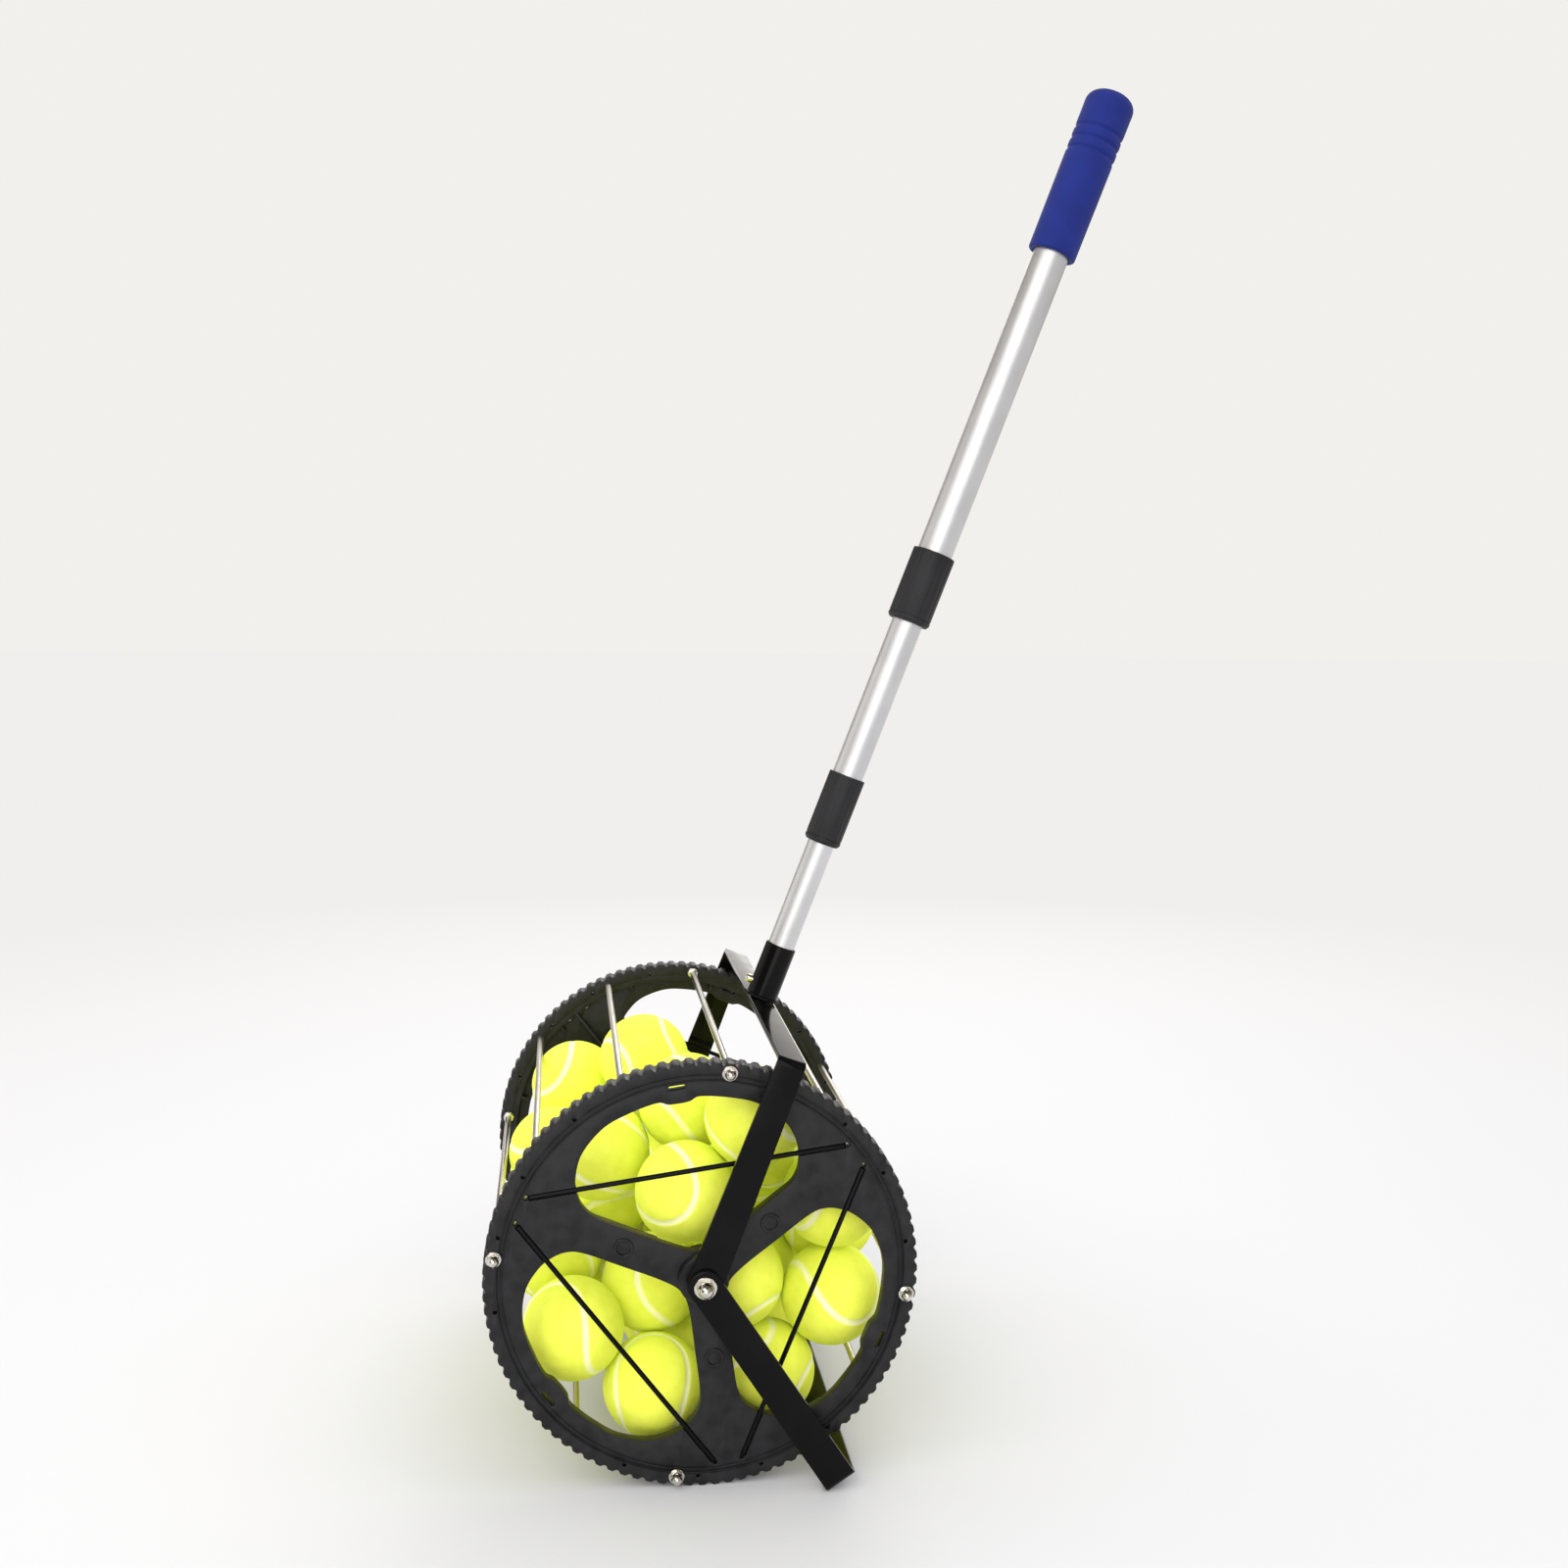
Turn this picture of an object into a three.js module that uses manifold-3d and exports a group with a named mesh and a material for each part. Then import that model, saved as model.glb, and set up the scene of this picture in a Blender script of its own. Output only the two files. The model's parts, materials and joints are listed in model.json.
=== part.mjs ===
// Rolling ball collector: two toothed discs joined by rods form a drum that turns on stub axles.
// A fork above, a stand below and a telescopic handle carry the drum, and loose balls lie in it.
// Lengths are in millimetres, +Z is up, the axle runs along Y, and the near disc is at -Y.

import * as THREE from 'three';
import { mergeVertices } from 'three/addons/utils/BufferGeometryUtils.js';
import Module from 'manifold-3d';

const wasm = await Module();
wasm.setup();

// Toothed disc
const discRadius = 135;
const drumWidth = 320;
const toothCount = 100;
const toothDepth = 1.8;
const toothTipShare = 0.42;
const rimDepth = 15;
const rimRecessInset = 12;
const webThickness = 8;
const firstTieAngle = 82.8;
const lobeCount = 3;
const lobeFromTieAngle = 15;
const lobePointCount = 30;
const lobeShares = [
  [0, 0.122],
  [0.1, 0.154],
  [0.279, 0.257],
  [0.438, 0.352],
  [0.492, 0.411],
  [0.512, 0.483],
  [0.507, 0.56],
  [0.464, 0.662],
  [0.358, 0.76],
  [0.24, 0.808],
  [0.1, 0.838],
  [0.045, 0.822],
];

// Openings and grooves in the disc's face
const slotInset = 14.2;
const slotLength = 11;
const slotWidth = 2.8;
const rimHoleInset = 8;
const rimHoleWidth = 3;
const rimHoleAngles = [-30, -9, 9, 30];
const faceGrooveInset = 9.6;
const faceGrooveWidth = 1.6;
const faceGrooveDepth = 0.9;
const ringBossRadius = 53;
const ringBossOuterWidth = 13;
const ringBossInnerWidth = 8;
const ringBossHeight = 1.1;

// Ribs on the disc's inner face
const ribThickness = 2.2;
const ribLowering = 0.8;
const rimRibCount = 12;
const rimRibLength = 5.6;

// Hub and axle bolt
const hubRadius = 15.6;
const hubOuterRise = 8;
const hubPocketRadius = 8;
const hubPocketDepth = 5.4;
const axleBoltRadius = 3;
const boltHeadRadius = 5.8;
const boltHeadHeight = 4;
const spacerRadius = 9;
const washerRadius = 7;
const washerThickness = 1.4;
const axleNutRadius = 5.7;
const axleNutHeight = 3.6;

// Cage rods and tie rods
const rodCircleInset = 6;
const rodCount = 12;
const tieEvery = 3;
const rodRadius = 2.2;
const rodSeatDepth = 8;
const tieRodRadius = 2.3;
const tieNutRadius = 4;
const tieNutHeight = 3.2;
const tieWasherRadius = 4.9;
const tieWasherThickness = 1;

// Bar across each opening of the disc
const chordBarRadius = 1.6;
const chordBarDistance = 67.5;
const chordBarEndInset = 4.8;
const chordBarProud = 0.5;
const barEndHoleWidth = 2.4;
const barEndHoleGap = 2;

// Fork and stand, bent from flat bar
const barThickness = 3;
const forkToDisc = 12;
const forkAxleWidth = 22;
const forkTopWidth = 18;
const forkToDrumTop = 10.8;
const forkBendRadius = 5;
const standWidth = 20.5;
const standBendRadius = 5;
const standAngle = 33.5;
const footFlatDepth = 0.5;

// Handle, with rises measured from the fork's top and stations from the axle
const handleLean = 21;
const socketRadius = 11;
const socketRise = 40.2;
const socketBase = 2.5;
const socketWeldHeight = 2.6;
const socketWeldWidth = 2.2;
const lowerTubeRadius = 9.5;
const middleTubeRadius = 11;
const upperTubeRadius = 12.5;
const tubeWall = 1.2;
const lowerTubeRise = 260.2;
const middleTubeRise = 448.2;
const lowerCollarRise = 118.2;
const lowerCollarLength = 50.6;
const lowerCollarRadius = 13;
const upperCollarRise = 284.2;
const upperCollarLength = 51.4;
const upperCollarRadius = 15.2;
const collarLipHeight = 16.5;
const collarChamfer = 1.6;
const collarFluteCount = 12;
const collarFluteWidth = 2;
const collarFluteDepth = 0.35;

// Foam grip
const gripBottomRise = 554.7;
const gripTopRise = 677.2;
const gripBottomRadius = 15.3;
const gripTopRadius = 17;
const gripHem = 3;
const gripCrown = 9;
const gripCrownRadius = 8.5;
const gripFlatRadius = 5.7;
const gripCapThickness = 7;
const gripGrooveCount = 3;
const gripGroovePitch = 7;
const gripGrooveFirst = 17;
const gripGrooveDepth = 0.9;
const gripGrooveWidth = 3.2;

// Snap button
const buttonRise = 10.7;
const buttonRadius = 3;
const buttonTip = 16;
const buttonFlangeRadius = 4;
const buttonFlangeThickness = 1.2;

// Balls: those that the photo shows start at their place, the others on a spiral, and all settle.
// A place is given as shares of the disc's radius, of half the pile's length and of the radius again.
const ballRadius = 32.7;
const ballCount = 35;
const ballNodeCount = 28;
const ballDetail = 1;
const ballClearance = 0.1;
const settleSteps = 400;
const settleShare = 0.7;
const seenHoldShare = 0.1;
const hiddenSinkShare = 0.004;
const hiddenDropShare = 0.5;
const spiralStart = 46;
const spiralRowShare = 0.618;
const seenBallShares = [
  [-0.04, -0.99, 0.29],
  [-0.26, -0.99, -0.39],
  [0.38, -0.99, -0.29],
  [-0.43, -0.58, 0.4],
  [0.02, -0.58, 0.57],
  [0.41, -0.76, 0.34],
  [-0.46, -0.18, -0.02],
  [-0.64, -0.71, -0.27],
  [-0.37, -0.18, -0.34],
  [-0.56, -0.99, -0.42],
  [-0.28, -0.99, -0.64],
  [-0.02, -0.76, -0.69],
  [0.68, -0.71, -0.11],
  [0.63, -0.99, -0.28],
  [0.46, -0.99, -0.52],
  [-0.19, 0.54, 0.6],
  [-0.57, 0.8, 0.39],
  [-0.69, 0.8, -0.08],
];

// Clearances and facets
const restGap = 0.3;
const cutOverrun = 2;
const hexagonSides = 6;
const bendSteps = 5;
const domeRings = 2;
const gripCrownSteps = 4;
const discSteps = 36;
const tubeSteps = 20;
const barSteps = 8;
const boltSteps = 8;
const holeSteps = 6;

const rimRecessRadius = discRadius - rimRecessInset;
const slotRadius = discRadius - slotInset;
const rimHoleRadius = discRadius - rimHoleInset;
const faceGrooveRadius = discRadius - faceGrooveInset;
const rimRibInnerRadius = rimRecessRadius - rimRibLength;
const rodCircleRadius = discRadius - rodCircleInset;
const chordBarHalfLength = Math.sqrt(rimRecessRadius ** 2 - chordBarDistance ** 2) - chordBarEndInset;
const innerPlane = drumWidth / 2 - rimDepth;
const forkInner = drumWidth / 2 + forkToDisc;
const standInner = forkInner + barThickness + restGap;
const forkHeight = discRadius + forkToDrumTop + barThickness;
const socketTop = forkHeight + socketRise;
const lowerTubeTop = forkHeight + lowerTubeRise;
const middleTubeTop = forkHeight + middleTubeRise;
const lowerCollarBottom = forkHeight + lowerCollarRise;
const upperCollarBottom = forkHeight + upperCollarRise;
const gripBottom = forkHeight + gripBottomRise;
const gripTop = forkHeight + gripTopRise;
const buttonStation = forkHeight + buttonRise;
const webInner = rimDepth - webThickness;
const axleHoleRadius = axleBoltRadius + restGap;
const pileReach = rodCircleRadius - rodRadius - restGap - ballRadius;
const pileHalfLength = innerPlane - restGap - ballRadius;

function material(color, roughness, metalness) {
  return new THREE.MeshStandardMaterial({ color, roughness, metalness });
}

const discPlastic = material('#2c2c2e', 0.5, 0);
const blackSteel = material('#1b1b1c', 0.2, 0.4);
const rodSteel = material('#c9c7c1', 0.25, 1);
const boltSteel = material('#d2d0ca', 0.18, 1);
const tubeAluminium = material('#cfd0d2', 0.35, 1);
const collarPlastic = material('#333337', 0.45, 0);
const gripFoam = material('#27348c', 0.85, 0);
const ballFelt = material('#dbe63a', 0.95, 0);
const buttonBrass = material('#c8bf9a', 0.25, 1);

// Solid from a geometry: shared corners are joined and empty triangles are dropped
function solid(geometry) {
  const bare = geometry.clone();
  bare.deleteAttribute('normal');
  bare.deleteAttribute('uv');
  const joined = mergeVertices(bare);
  const corners = joined.index.array;
  const kept = [];
  for (let i = 0; i < corners.length; i += 3) {
    const [a, b, c] = [corners[i], corners[i + 1], corners[i + 2]];
    if (a !== b && b !== c && c !== a) {
      kept.push(a, b, c);
    }
  }
  return new wasm.Manifold(new wasm.Mesh({
    numProp: 3,
    vertProperties: new Float32Array(joined.attributes.position.array),
    triVerts: new Uint32Array(kept),
  }));
}

// Mesh from a solid
function meshOf(name, body, paint) {
  const data = body.getMesh();
  const geometry = new THREE.BufferGeometry();
  geometry.setAttribute('position', new THREE.BufferAttribute(new Float32Array(data.vertProperties), 3));
  geometry.setIndex(new THREE.BufferAttribute(new Uint32Array(data.triVerts), 1));
  geometry.computeVertexNormals();
  const mesh = new THREE.Mesh(geometry, paint.clone());
  mesh.name = name;
  return mesh;
}

// Prism of a shape from z = bottom to z = top
function prism(shape, bottom, top) {
  const geometry = new THREE.ExtrudeGeometry(shape, { depth: top - bottom, bevelEnabled: false });
  geometry.translate(0, 0, bottom);
  return solid(geometry);
}

// Solid of revolution about Z, from [radius, height] pairs that run upwards on the outside
function revolve(profile, steps) {
  const points = profile.map(([radius, height]) => new THREE.Vector2(radius, height));
  const geometry = new THREE.LatheGeometry(points, steps);
  geometry.rotateX(Math.PI / 2);
  return solid(geometry);
}

// Round bar along Z
function cylinder(radius, bottom, top, steps) {
  return revolve([[0, bottom], [radius, bottom], [radius, top], [0, top]], steps);
}

// Ring about Z
function ring(inner, outer, bottom, top, steps) {
  return revolve([[inner, bottom], [outer, bottom], [outer, top], [inner, top], [inner, bottom]], steps);
}

function box(xLow, xHigh, yLow, yHigh, zLow, zHigh) {
  const geometry = new THREE.BoxGeometry(xHigh - xLow, yHigh - yLow, zHigh - zLow);
  geometry.translate((xLow + xHigh) / 2, (yLow + yHigh) / 2, (zLow + zHigh) / 2);
  return solid(geometry);
}

function twoDigits(number) {
  return String(number).padStart(2, '0');
}

function radians(degrees) {
  return THREE.MathUtils.degToRad(degrees);
}

function polar(radius, degrees) {
  return new THREE.Vector2(radius * Math.cos(radians(degrees)), radius * Math.sin(radians(degrees)));
}

function turnedPoint(across, along, degrees) {
  return new THREE.Vector2(across, along).rotateAround(new THREE.Vector2(), radians(degrees));
}

function roundHole(center, width, steps) {
  const points = [];
  for (let i = 0; i < steps; i += 1) {
    points.push(polar(width / 2, 360 * i / steps).add(center));
  }
  return new THREE.Path(points);
}

// Outline of flat-topped teeth with a sharp root between them
function toothedOutline() {
  const pitch = 360 / toothCount;
  const points = [];
  for (let i = 0; i < toothCount; i += 1) {
    points.push(polar(discRadius, pitch * (i - toothTipShare / 2)));
    points.push(polar(discRadius, pitch * (i + toothTipShare / 2)));
    points.push(polar(discRadius - toothDepth, pitch * (i + 0.5)));
  }
  return new THREE.Shape(points);
}

// Heart-like opening between two spokes, around the given direction
function lobeOutline(direction) {
  const half = lobeShares.map(([across, along]) => [across * discRadius, along * discRadius]);
  const mirrored = half.slice(1).reverse().map(([across, along]) => [-across, along]);
  const points = [...half, ...mirrored].map(([across, along]) => new THREE.Vector3(across, along, 0));
  const curve = new THREE.CatmullRomCurve3(points, true, 'centripetal');
  const outline = curve.getSpacedPoints(lobePointCount).slice(0, lobePointCount);
  return new THREE.Path(outline.map((point) => turnedPoint(point.x, point.y, direction - 90)));
}

// Slot along the rim
function slotOutline(direction) {
  const halfLength = slotLength / 2;
  const halfWidth = slotWidth / 2;
  const corners = [
    [-halfLength, -halfWidth],
    [halfLength, -halfWidth],
    [halfLength, halfWidth],
    [-halfLength, halfWidth],
  ];
  return new THREE.Path(corners.map(([across, along]) => {
    return turnedPoint(across, slotRadius + along, direction - 90);
  }));
}

function lobeDirections() {
  return Array.from({ length: lobeCount }, (_, i) => lobeFromTieAngle + 360 * i / lobeCount);
}

function spokeDirections() {
  return lobeDirections().map((direction) => direction + 180);
}

// Disc flat on z = 0 with its outer face up, its first tie rod at angle zero
function discBody() {
  const outline = toothedOutline();
  for (const direction of lobeDirections()) {
    outline.holes.push(lobeOutline(direction));
    outline.holes.push(slotOutline(direction));
    for (const end of [-1, 1]) {
      const across = end * (chordBarHalfLength + barEndHoleGap);
      const place = turnedPoint(across, chordBarDistance, direction - 90);
      outline.holes.push(roundHole(place, barEndHoleWidth, holeSteps));
    }
  }
  for (const direction of spokeDirections()) {
    for (const angle of rimHoleAngles) {
      outline.holes.push(roundHole(polar(rimHoleRadius, direction + angle), rimHoleWidth, holeSteps));
    }
  }
  let body = prism(outline, 0, rimDepth);
  body = body.subtract(cylinder(rimRecessRadius, -cutOverrun, webInner, discSteps));
  body = body.add(discRibs());
  body = body.add(cylinder(hubRadius, 0, rimDepth + hubOuterRise, tubeSteps));
  body = body.subtract(cylinder(hubPocketRadius, -cutOverrun, hubPocketDepth, boltSteps));
  const hubTop = rimDepth + hubOuterRise;
  body = body.subtract(cylinder(axleHoleRadius, -cutOverrun, hubTop + cutOverrun, tubeSteps));
  body = body.add(ringBosses());
  body = body.subtract(faceGroove());
  body = body.subtract(rodSeats());
  return body.subtract(chordSeats());
}

// Ring groove in the outer face, inside the rods
function faceGroove() {
  const inner = faceGrooveRadius - faceGrooveWidth / 2;
  const outer = faceGrooveRadius + faceGrooveWidth / 2;
  return ring(inner, outer, rimDepth - faceGrooveDepth, rimDepth + cutOverrun, discSteps);
}

// Radial ribs in the rim's recess and one along each spoke
function discRibs() {
  const ribs = [];
  const overlap = webThickness / 2;
  for (let i = 0; i < rimRibCount; i += 1) {
    const rib = box(rimRibInnerRadius, rimRecessRadius + overlap,
      -ribThickness / 2, ribThickness / 2, ribLowering, webInner + overlap);
    ribs.push(rib.rotate([0, 0, lobeFromTieAngle / 2 + 360 * i / rimRibCount]));
  }
  for (const direction of spokeDirections()) {
    const rib = box(hubPocketRadius + ribThickness, rimRecessRadius + overlap,
      -ribThickness / 2, ribThickness / 2, ribLowering, webInner + overlap);
    ribs.push(rib.rotate([0, 0, direction]));
  }
  return wasm.Manifold.union(ribs);
}

// Raised ring on the outer face of each spoke
function ringBosses() {
  const bosses = spokeDirections().map((direction) => {
    const place = polar(ringBossRadius, direction);
    const boss = ring(ringBossInnerWidth / 2, ringBossOuterWidth / 2, rimDepth - webThickness / 2,
      rimDepth + ringBossHeight, boltSteps);
    return boss.translate([place.x, place.y, 0]);
  });
  return wasm.Manifold.union(bosses);
}

function isTie(index) {
  return index % tieEvery === 0;
}

// Blind holes for the cage rods and through holes for the tie rods
function rodSeats() {
  const seats = [];
  for (let i = 0; i < rodCount; i += 1) {
    const place = polar(rodCircleRadius, 360 * i / rodCount);
    const radius = (isTie(i) ? tieRodRadius : rodRadius) + restGap;
    const depth = isTie(i) ? rimDepth + cutOverrun : rodSeatDepth;
    seats.push(cylinder(radius, -cutOverrun, depth, barSteps).translate([place.x, place.y, 0]));
  }
  return wasm.Manifold.union(seats);
}

// Grooves that hold the chord bars
function chordSeats() {
  const halfLength = chordBarHalfLength + restGap;
  const halfWidth = chordBarRadius + restGap;
  const floor = rimDepth + chordBarProud - 2 * chordBarRadius - restGap;
  const seats = lobeDirections().map((direction) => {
    const seat = box(-halfLength, halfLength, chordBarDistance - halfWidth, chordBarDistance + halfWidth,
      floor, rimDepth + cutOverrun);
    return seat.rotate([0, 0, direction - 90]);
  });
  return wasm.Manifold.union(seats);
}

function chordBar(direction) {
  const bar = cylinder(chordBarRadius, -chordBarHalfLength, chordBarHalfLength, barSteps);
  const height = rimDepth + chordBarProud - chordBarRadius;
  return bar.rotate([0, 90, 0]).translate([0, chordBarDistance, height]).rotate([0, 0, direction - 90]);
}

// Side of the drum: places what is built flat on z = 0 at the near or the far end of the axle
const sides = [
  { name: 'front', turn: firstTieAngle, facing: 0 },
  { name: 'back', turn: 180 - firstTieAngle, facing: 180 },
];

function onSide(body, side) {
  const flat = body.rotate([0, 0, side.turn]).translate([0, 0, innerPlane]);
  return flat.rotate([90, 0, 0]).rotate([0, 0, side.facing]);
}

function discNodes(side) {
  const nodes = [meshOf(side.name + '_disc', onSide(discBody(), side), discPlastic)];
  lobeDirections().forEach((direction, i) => {
    const bar = onSide(chordBar(direction), side);
    nodes.push(meshOf(side.name + '_chord_bar_' + (i + 1), bar, blackSteel));
  });
  return nodes;
}

// Cage rods rest in blind holes of both discs
function cageRod(angle) {
  const half = innerPlane + rodSeatDepth - restGap;
  const place = polar(rodCircleRadius, angle);
  return cylinder(rodRadius, -half, half, barSteps).rotate([90, 0, 0]).translate([place.x, 0, place.y]);
}

// Dome-ended nut with its washer, standing on z = 0
function domeNut(nutRadius, nutHeight, ringRadius, ringThickness) {
  const nutBottom = ringThickness;
  const nutTop = nutBottom + nutHeight;
  const domeRadius = nutRadius * Math.cos(Math.PI / hexagonSides);
  const dome = [[0, nutBottom], [domeRadius, nutBottom], [domeRadius, nutTop]];
  for (let i = 1; i < domeRings; i += 1) {
    const rise = Math.PI / 2 * i / domeRings;
    dome.push([domeRadius * Math.cos(rise), nutTop + domeRadius * Math.sin(rise)]);
  }
  dome.push([0, nutTop + domeRadius]);
  const hexagon = cylinder(nutRadius, nutBottom, nutTop, hexagonSides);
  const flat = cylinder(ringRadius, 0, nutBottom + ringThickness / 2, boltSteps);
  return flat.add(hexagon).add(revolve(dome, boltSteps));
}

// Threaded rod with a dome nut on each outer face and a plain nut on each inner face
function tieRod(angle) {
  const half = drumWidth / 2 + restGap + tieWasherThickness;
  const place = polar(rodCircleRadius, angle);
  let rod = cylinder(tieRodRadius, -half, half, barSteps);
  const outer = domeNut(tieNutRadius, tieNutHeight, tieWasherRadius, tieWasherThickness)
    .translate([0, 0, drumWidth / 2 + restGap]);
  const innerTop = innerPlane - restGap;
  const inner = cylinder(tieNutRadius, innerTop - tieNutHeight, innerTop, hexagonSides);
  const end = outer.add(inner);
  rod = rod.add(end).add(end.rotate([180, 0, 0]));
  return rod.rotate([90, 0, 0]).translate([place.x, 0, place.y]);
}

function drumNodes() {
  const nodes = sides.flatMap(discNodes);
  for (let i = 0; i < rodCount; i += 1) {
    const angle = firstTieAngle + 360 * i / rodCount;
    const number = twoDigits(i + 1);
    if (isTie(i)) {
      nodes.push(meshOf('tie_rod_' + number, tieRod(angle), boltSteel));
    } else {
      nodes.push(meshOf('cage_rod_' + number, cageRod(angle), rodSteel));
    }
  }
  return nodes;
}

// Stub axle bolt: head in the hub's pocket, spacer, washer and dome nut outside
function axleBolt(side) {
  const headBottom = hubPocketDepth - restGap - boltHeadHeight;
  const spacerBottom = rimDepth + hubOuterRise + restGap;
  const spacerTop = rimDepth + forkToDisc - restGap;
  const nutBottom = standInner - innerPlane + barThickness + restGap;
  const head = cylinder(boltHeadRadius, headBottom, headBottom + boltHeadHeight, boltSteps);
  const shank = cylinder(axleBoltRadius, headBottom, nutBottom + washerThickness, tubeSteps);
  const spacer = cylinder(spacerRadius, spacerBottom, spacerTop, tubeSteps);
  const nut = domeNut(axleNutRadius, axleNutHeight, washerRadius, washerThickness)
    .translate([0, 0, nutBottom]);
  const bolt = head.add(shank).add(spacer).add(nut);
  return meshOf(side.name + '_axle_bolt', onSide(bolt, side), boltSteel);
}

// U-shaped strip along Y: its legs run down from z = top to z = bottom
function bentStrip(inner, bottom, top, bendRadius, halfWidth) {
  const outer = inner + barThickness;
  const underside = top - barThickness;
  const innerBend = bendRadius - barThickness;
  const strip = new THREE.Shape();
  strip.moveTo(-outer, bottom);
  strip.lineTo(-outer, top - bendRadius);
  strip.quadraticCurveTo(-outer, top, bendRadius - outer, top);
  strip.lineTo(outer - bendRadius, top);
  strip.quadraticCurveTo(outer, top, outer, top - bendRadius);
  strip.lineTo(outer, bottom);
  strip.lineTo(inner, bottom);
  strip.lineTo(inner, underside - innerBend);
  strip.quadraticCurveTo(inner, underside, inner - innerBend, underside);
  strip.lineTo(innerBend - inner, underside);
  strip.quadraticCurveTo(-inner, underside, -inner, underside - innerBend);
  strip.lineTo(-inner, bottom);
  const geometry = new THREE.ExtrudeGeometry(strip, {
    depth: 2 * halfWidth,
    bevelEnabled: false,
    curveSegments: bendSteps,
  });
  geometry.translate(0, 0, -halfWidth);
  geometry.rotateY(Math.PI / 2);
  geometry.rotateX(Math.PI / 2);
  return solid(geometry);
}

// Side outline of a leg: round about the axle, narrower or even towards z = top
function legOutline(axleWidth, topWidth, top) {
  const outline = new THREE.Shape();
  outline.moveTo(axleWidth / 2, 0);
  outline.lineTo(topWidth / 2, top);
  outline.lineTo(-topWidth / 2, top);
  outline.lineTo(-axleWidth / 2, 0);
  outline.absarc(0, 0, axleWidth / 2, Math.PI, 2 * Math.PI, false);
  outline.holes.push(roundHole(new THREE.Vector2(), 2 * axleHoleRadius, tubeSteps));
  return outline;
}

// Flat bar bent to a U over the drum, standing upright on the axle
function bentBar(inner, axleWidth, topWidth, top, bendRadius) {
  const outer = inner + barThickness;
  const strip = bentStrip(inner, -axleWidth, top, bendRadius, axleWidth);
  const leg = legOutline(axleWidth, topWidth, top + cutOverrun);
  const outline = prism(leg, -outer - cutOverrun, outer + cutOverrun);
  return strip.intersect(outline.rotate([90, 0, 0]));
}

function handleFork() {
  const fork = bentBar(forkInner, forkAxleWidth, forkTopWidth, forkHeight, forkBendRadius);
  return meshOf('handle_fork', fork.rotate([0, handleLean, 0]), blackSteel);
}

// The stand is a second bent bar below the axle, with the corner of its foot ground flat on the floor
function standBar() {
  const reach = (discRadius + footFlatDepth - standWidth / 2 * Math.sin(radians(standAngle)))
    / Math.cos(radians(standAngle));
  const bar = bentBar(standInner, standWidth, standWidth, reach, standBendRadius);
  const lowered = bar.rotate([0, 180 - standAngle, 0]);
  const floor = lowered.trimByPlane([0, 0, 1], -discRadius);
  return meshOf('stand_bar', floor, blackSteel);
}

// Turned piece on the handle's axis
function onHandle(body) {
  return body.rotate([0, handleLean, 0]);
}

function tube(name, radius, bottom, top) {
  const body = ring(radius - tubeWall, radius, bottom, top, tubeSteps);
  return meshOf(name, onHandle(body), tubeAluminium);
}

// Hole for the snap button, towards -X of the handle
function buttonHole() {
  const hole = cylinder(buttonRadius + restGap, 0, socketRadius + cutOverrun, boltSteps);
  return hole.rotate([0, -90, 0]).translate([0, 0, buttonStation]);
}

function handleSocket() {
  const bottom = forkHeight + restGap;
  const bore = lowerTubeRadius + restGap;
  const profile = [
    [0, bottom],
    [socketRadius + socketWeldWidth, bottom],
    [socketRadius + socketWeldWidth / 3, bottom + socketWeldHeight / 2],
    [socketRadius, bottom + socketWeldHeight],
    [socketRadius, socketTop],
    [bore, socketTop],
    [bore, bottom + socketBase],
    [0, bottom + socketBase],
  ];
  const body = revolve(profile, tubeSteps).subtract(buttonHole());
  return meshOf('handle_socket', onHandle(body), blackSteel);
}

function lowerTube() {
  const bottom = forkHeight + restGap + socketBase + restGap;
  const body = ring(lowerTubeRadius - tubeWall, lowerTubeRadius, bottom, lowerTubeTop, tubeSteps);
  return meshOf('lower_tube', onHandle(body.subtract(buttonHole())), tubeAluminium);
}

function snapButton() {
  const flangeTop = lowerTubeRadius - tubeWall - buttonFlangeThickness;
  const flangeBottom = flangeTop - buttonFlangeThickness;
  const shoulder = buttonTip - buttonRadius;
  const profile = [
    [0, flangeBottom],
    [buttonFlangeRadius, flangeBottom],
    [buttonFlangeRadius, flangeTop],
    [buttonRadius, flangeTop],
    [buttonRadius, shoulder],
    [buttonRadius * Math.cos(Math.PI / 6), shoulder + buttonRadius * Math.sin(Math.PI / 6)],
    [buttonRadius * Math.cos(Math.PI / 3), shoulder + buttonRadius * Math.sin(Math.PI / 3)],
    [0, buttonTip],
  ];
  const body = revolve(profile, boltSteps).rotate([0, -90, 0]).translate([0, 0, buttonStation]);
  return meshOf('snap_button', onHandle(body), buttonBrass);
}

// Clamp collar: a lip round the inner tube and a sleeve round the end of the outer tube
function collar(name, radius, bottom, length, innerTube, outerTube) {
  const top = bottom + length;
  const lipBore = innerTube + restGap;
  const sleeveBore = outerTube + restGap;
  const profile = [
    [lipBore, bottom],
    [radius - collarChamfer, bottom],
    [radius, bottom + collarChamfer],
    [radius, top - collarChamfer / 2],
    [radius - collarChamfer / 2, top],
    [sleeveBore, top],
    [sleeveBore, bottom + collarLipHeight],
    [lipBore, bottom + collarLipHeight],
    [lipBore, bottom],
  ];
  const flutes = [];
  for (let i = 0; i < collarFluteCount; i += 1) {
    const flute = box(radius - collarFluteDepth, radius + cutOverrun,
      -collarFluteWidth / 2, collarFluteWidth / 2, bottom + 3 * collarChamfer, top - 3 * collarChamfer);
    flutes.push(flute.rotate([0, 0, 360 * (i + 0.5) / collarFluteCount]));
  }
  const body = revolve(profile, tubeSteps).subtract(wasm.Manifold.union(flutes));
  return meshOf(name, onHandle(body), collarPlastic);
}

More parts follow.
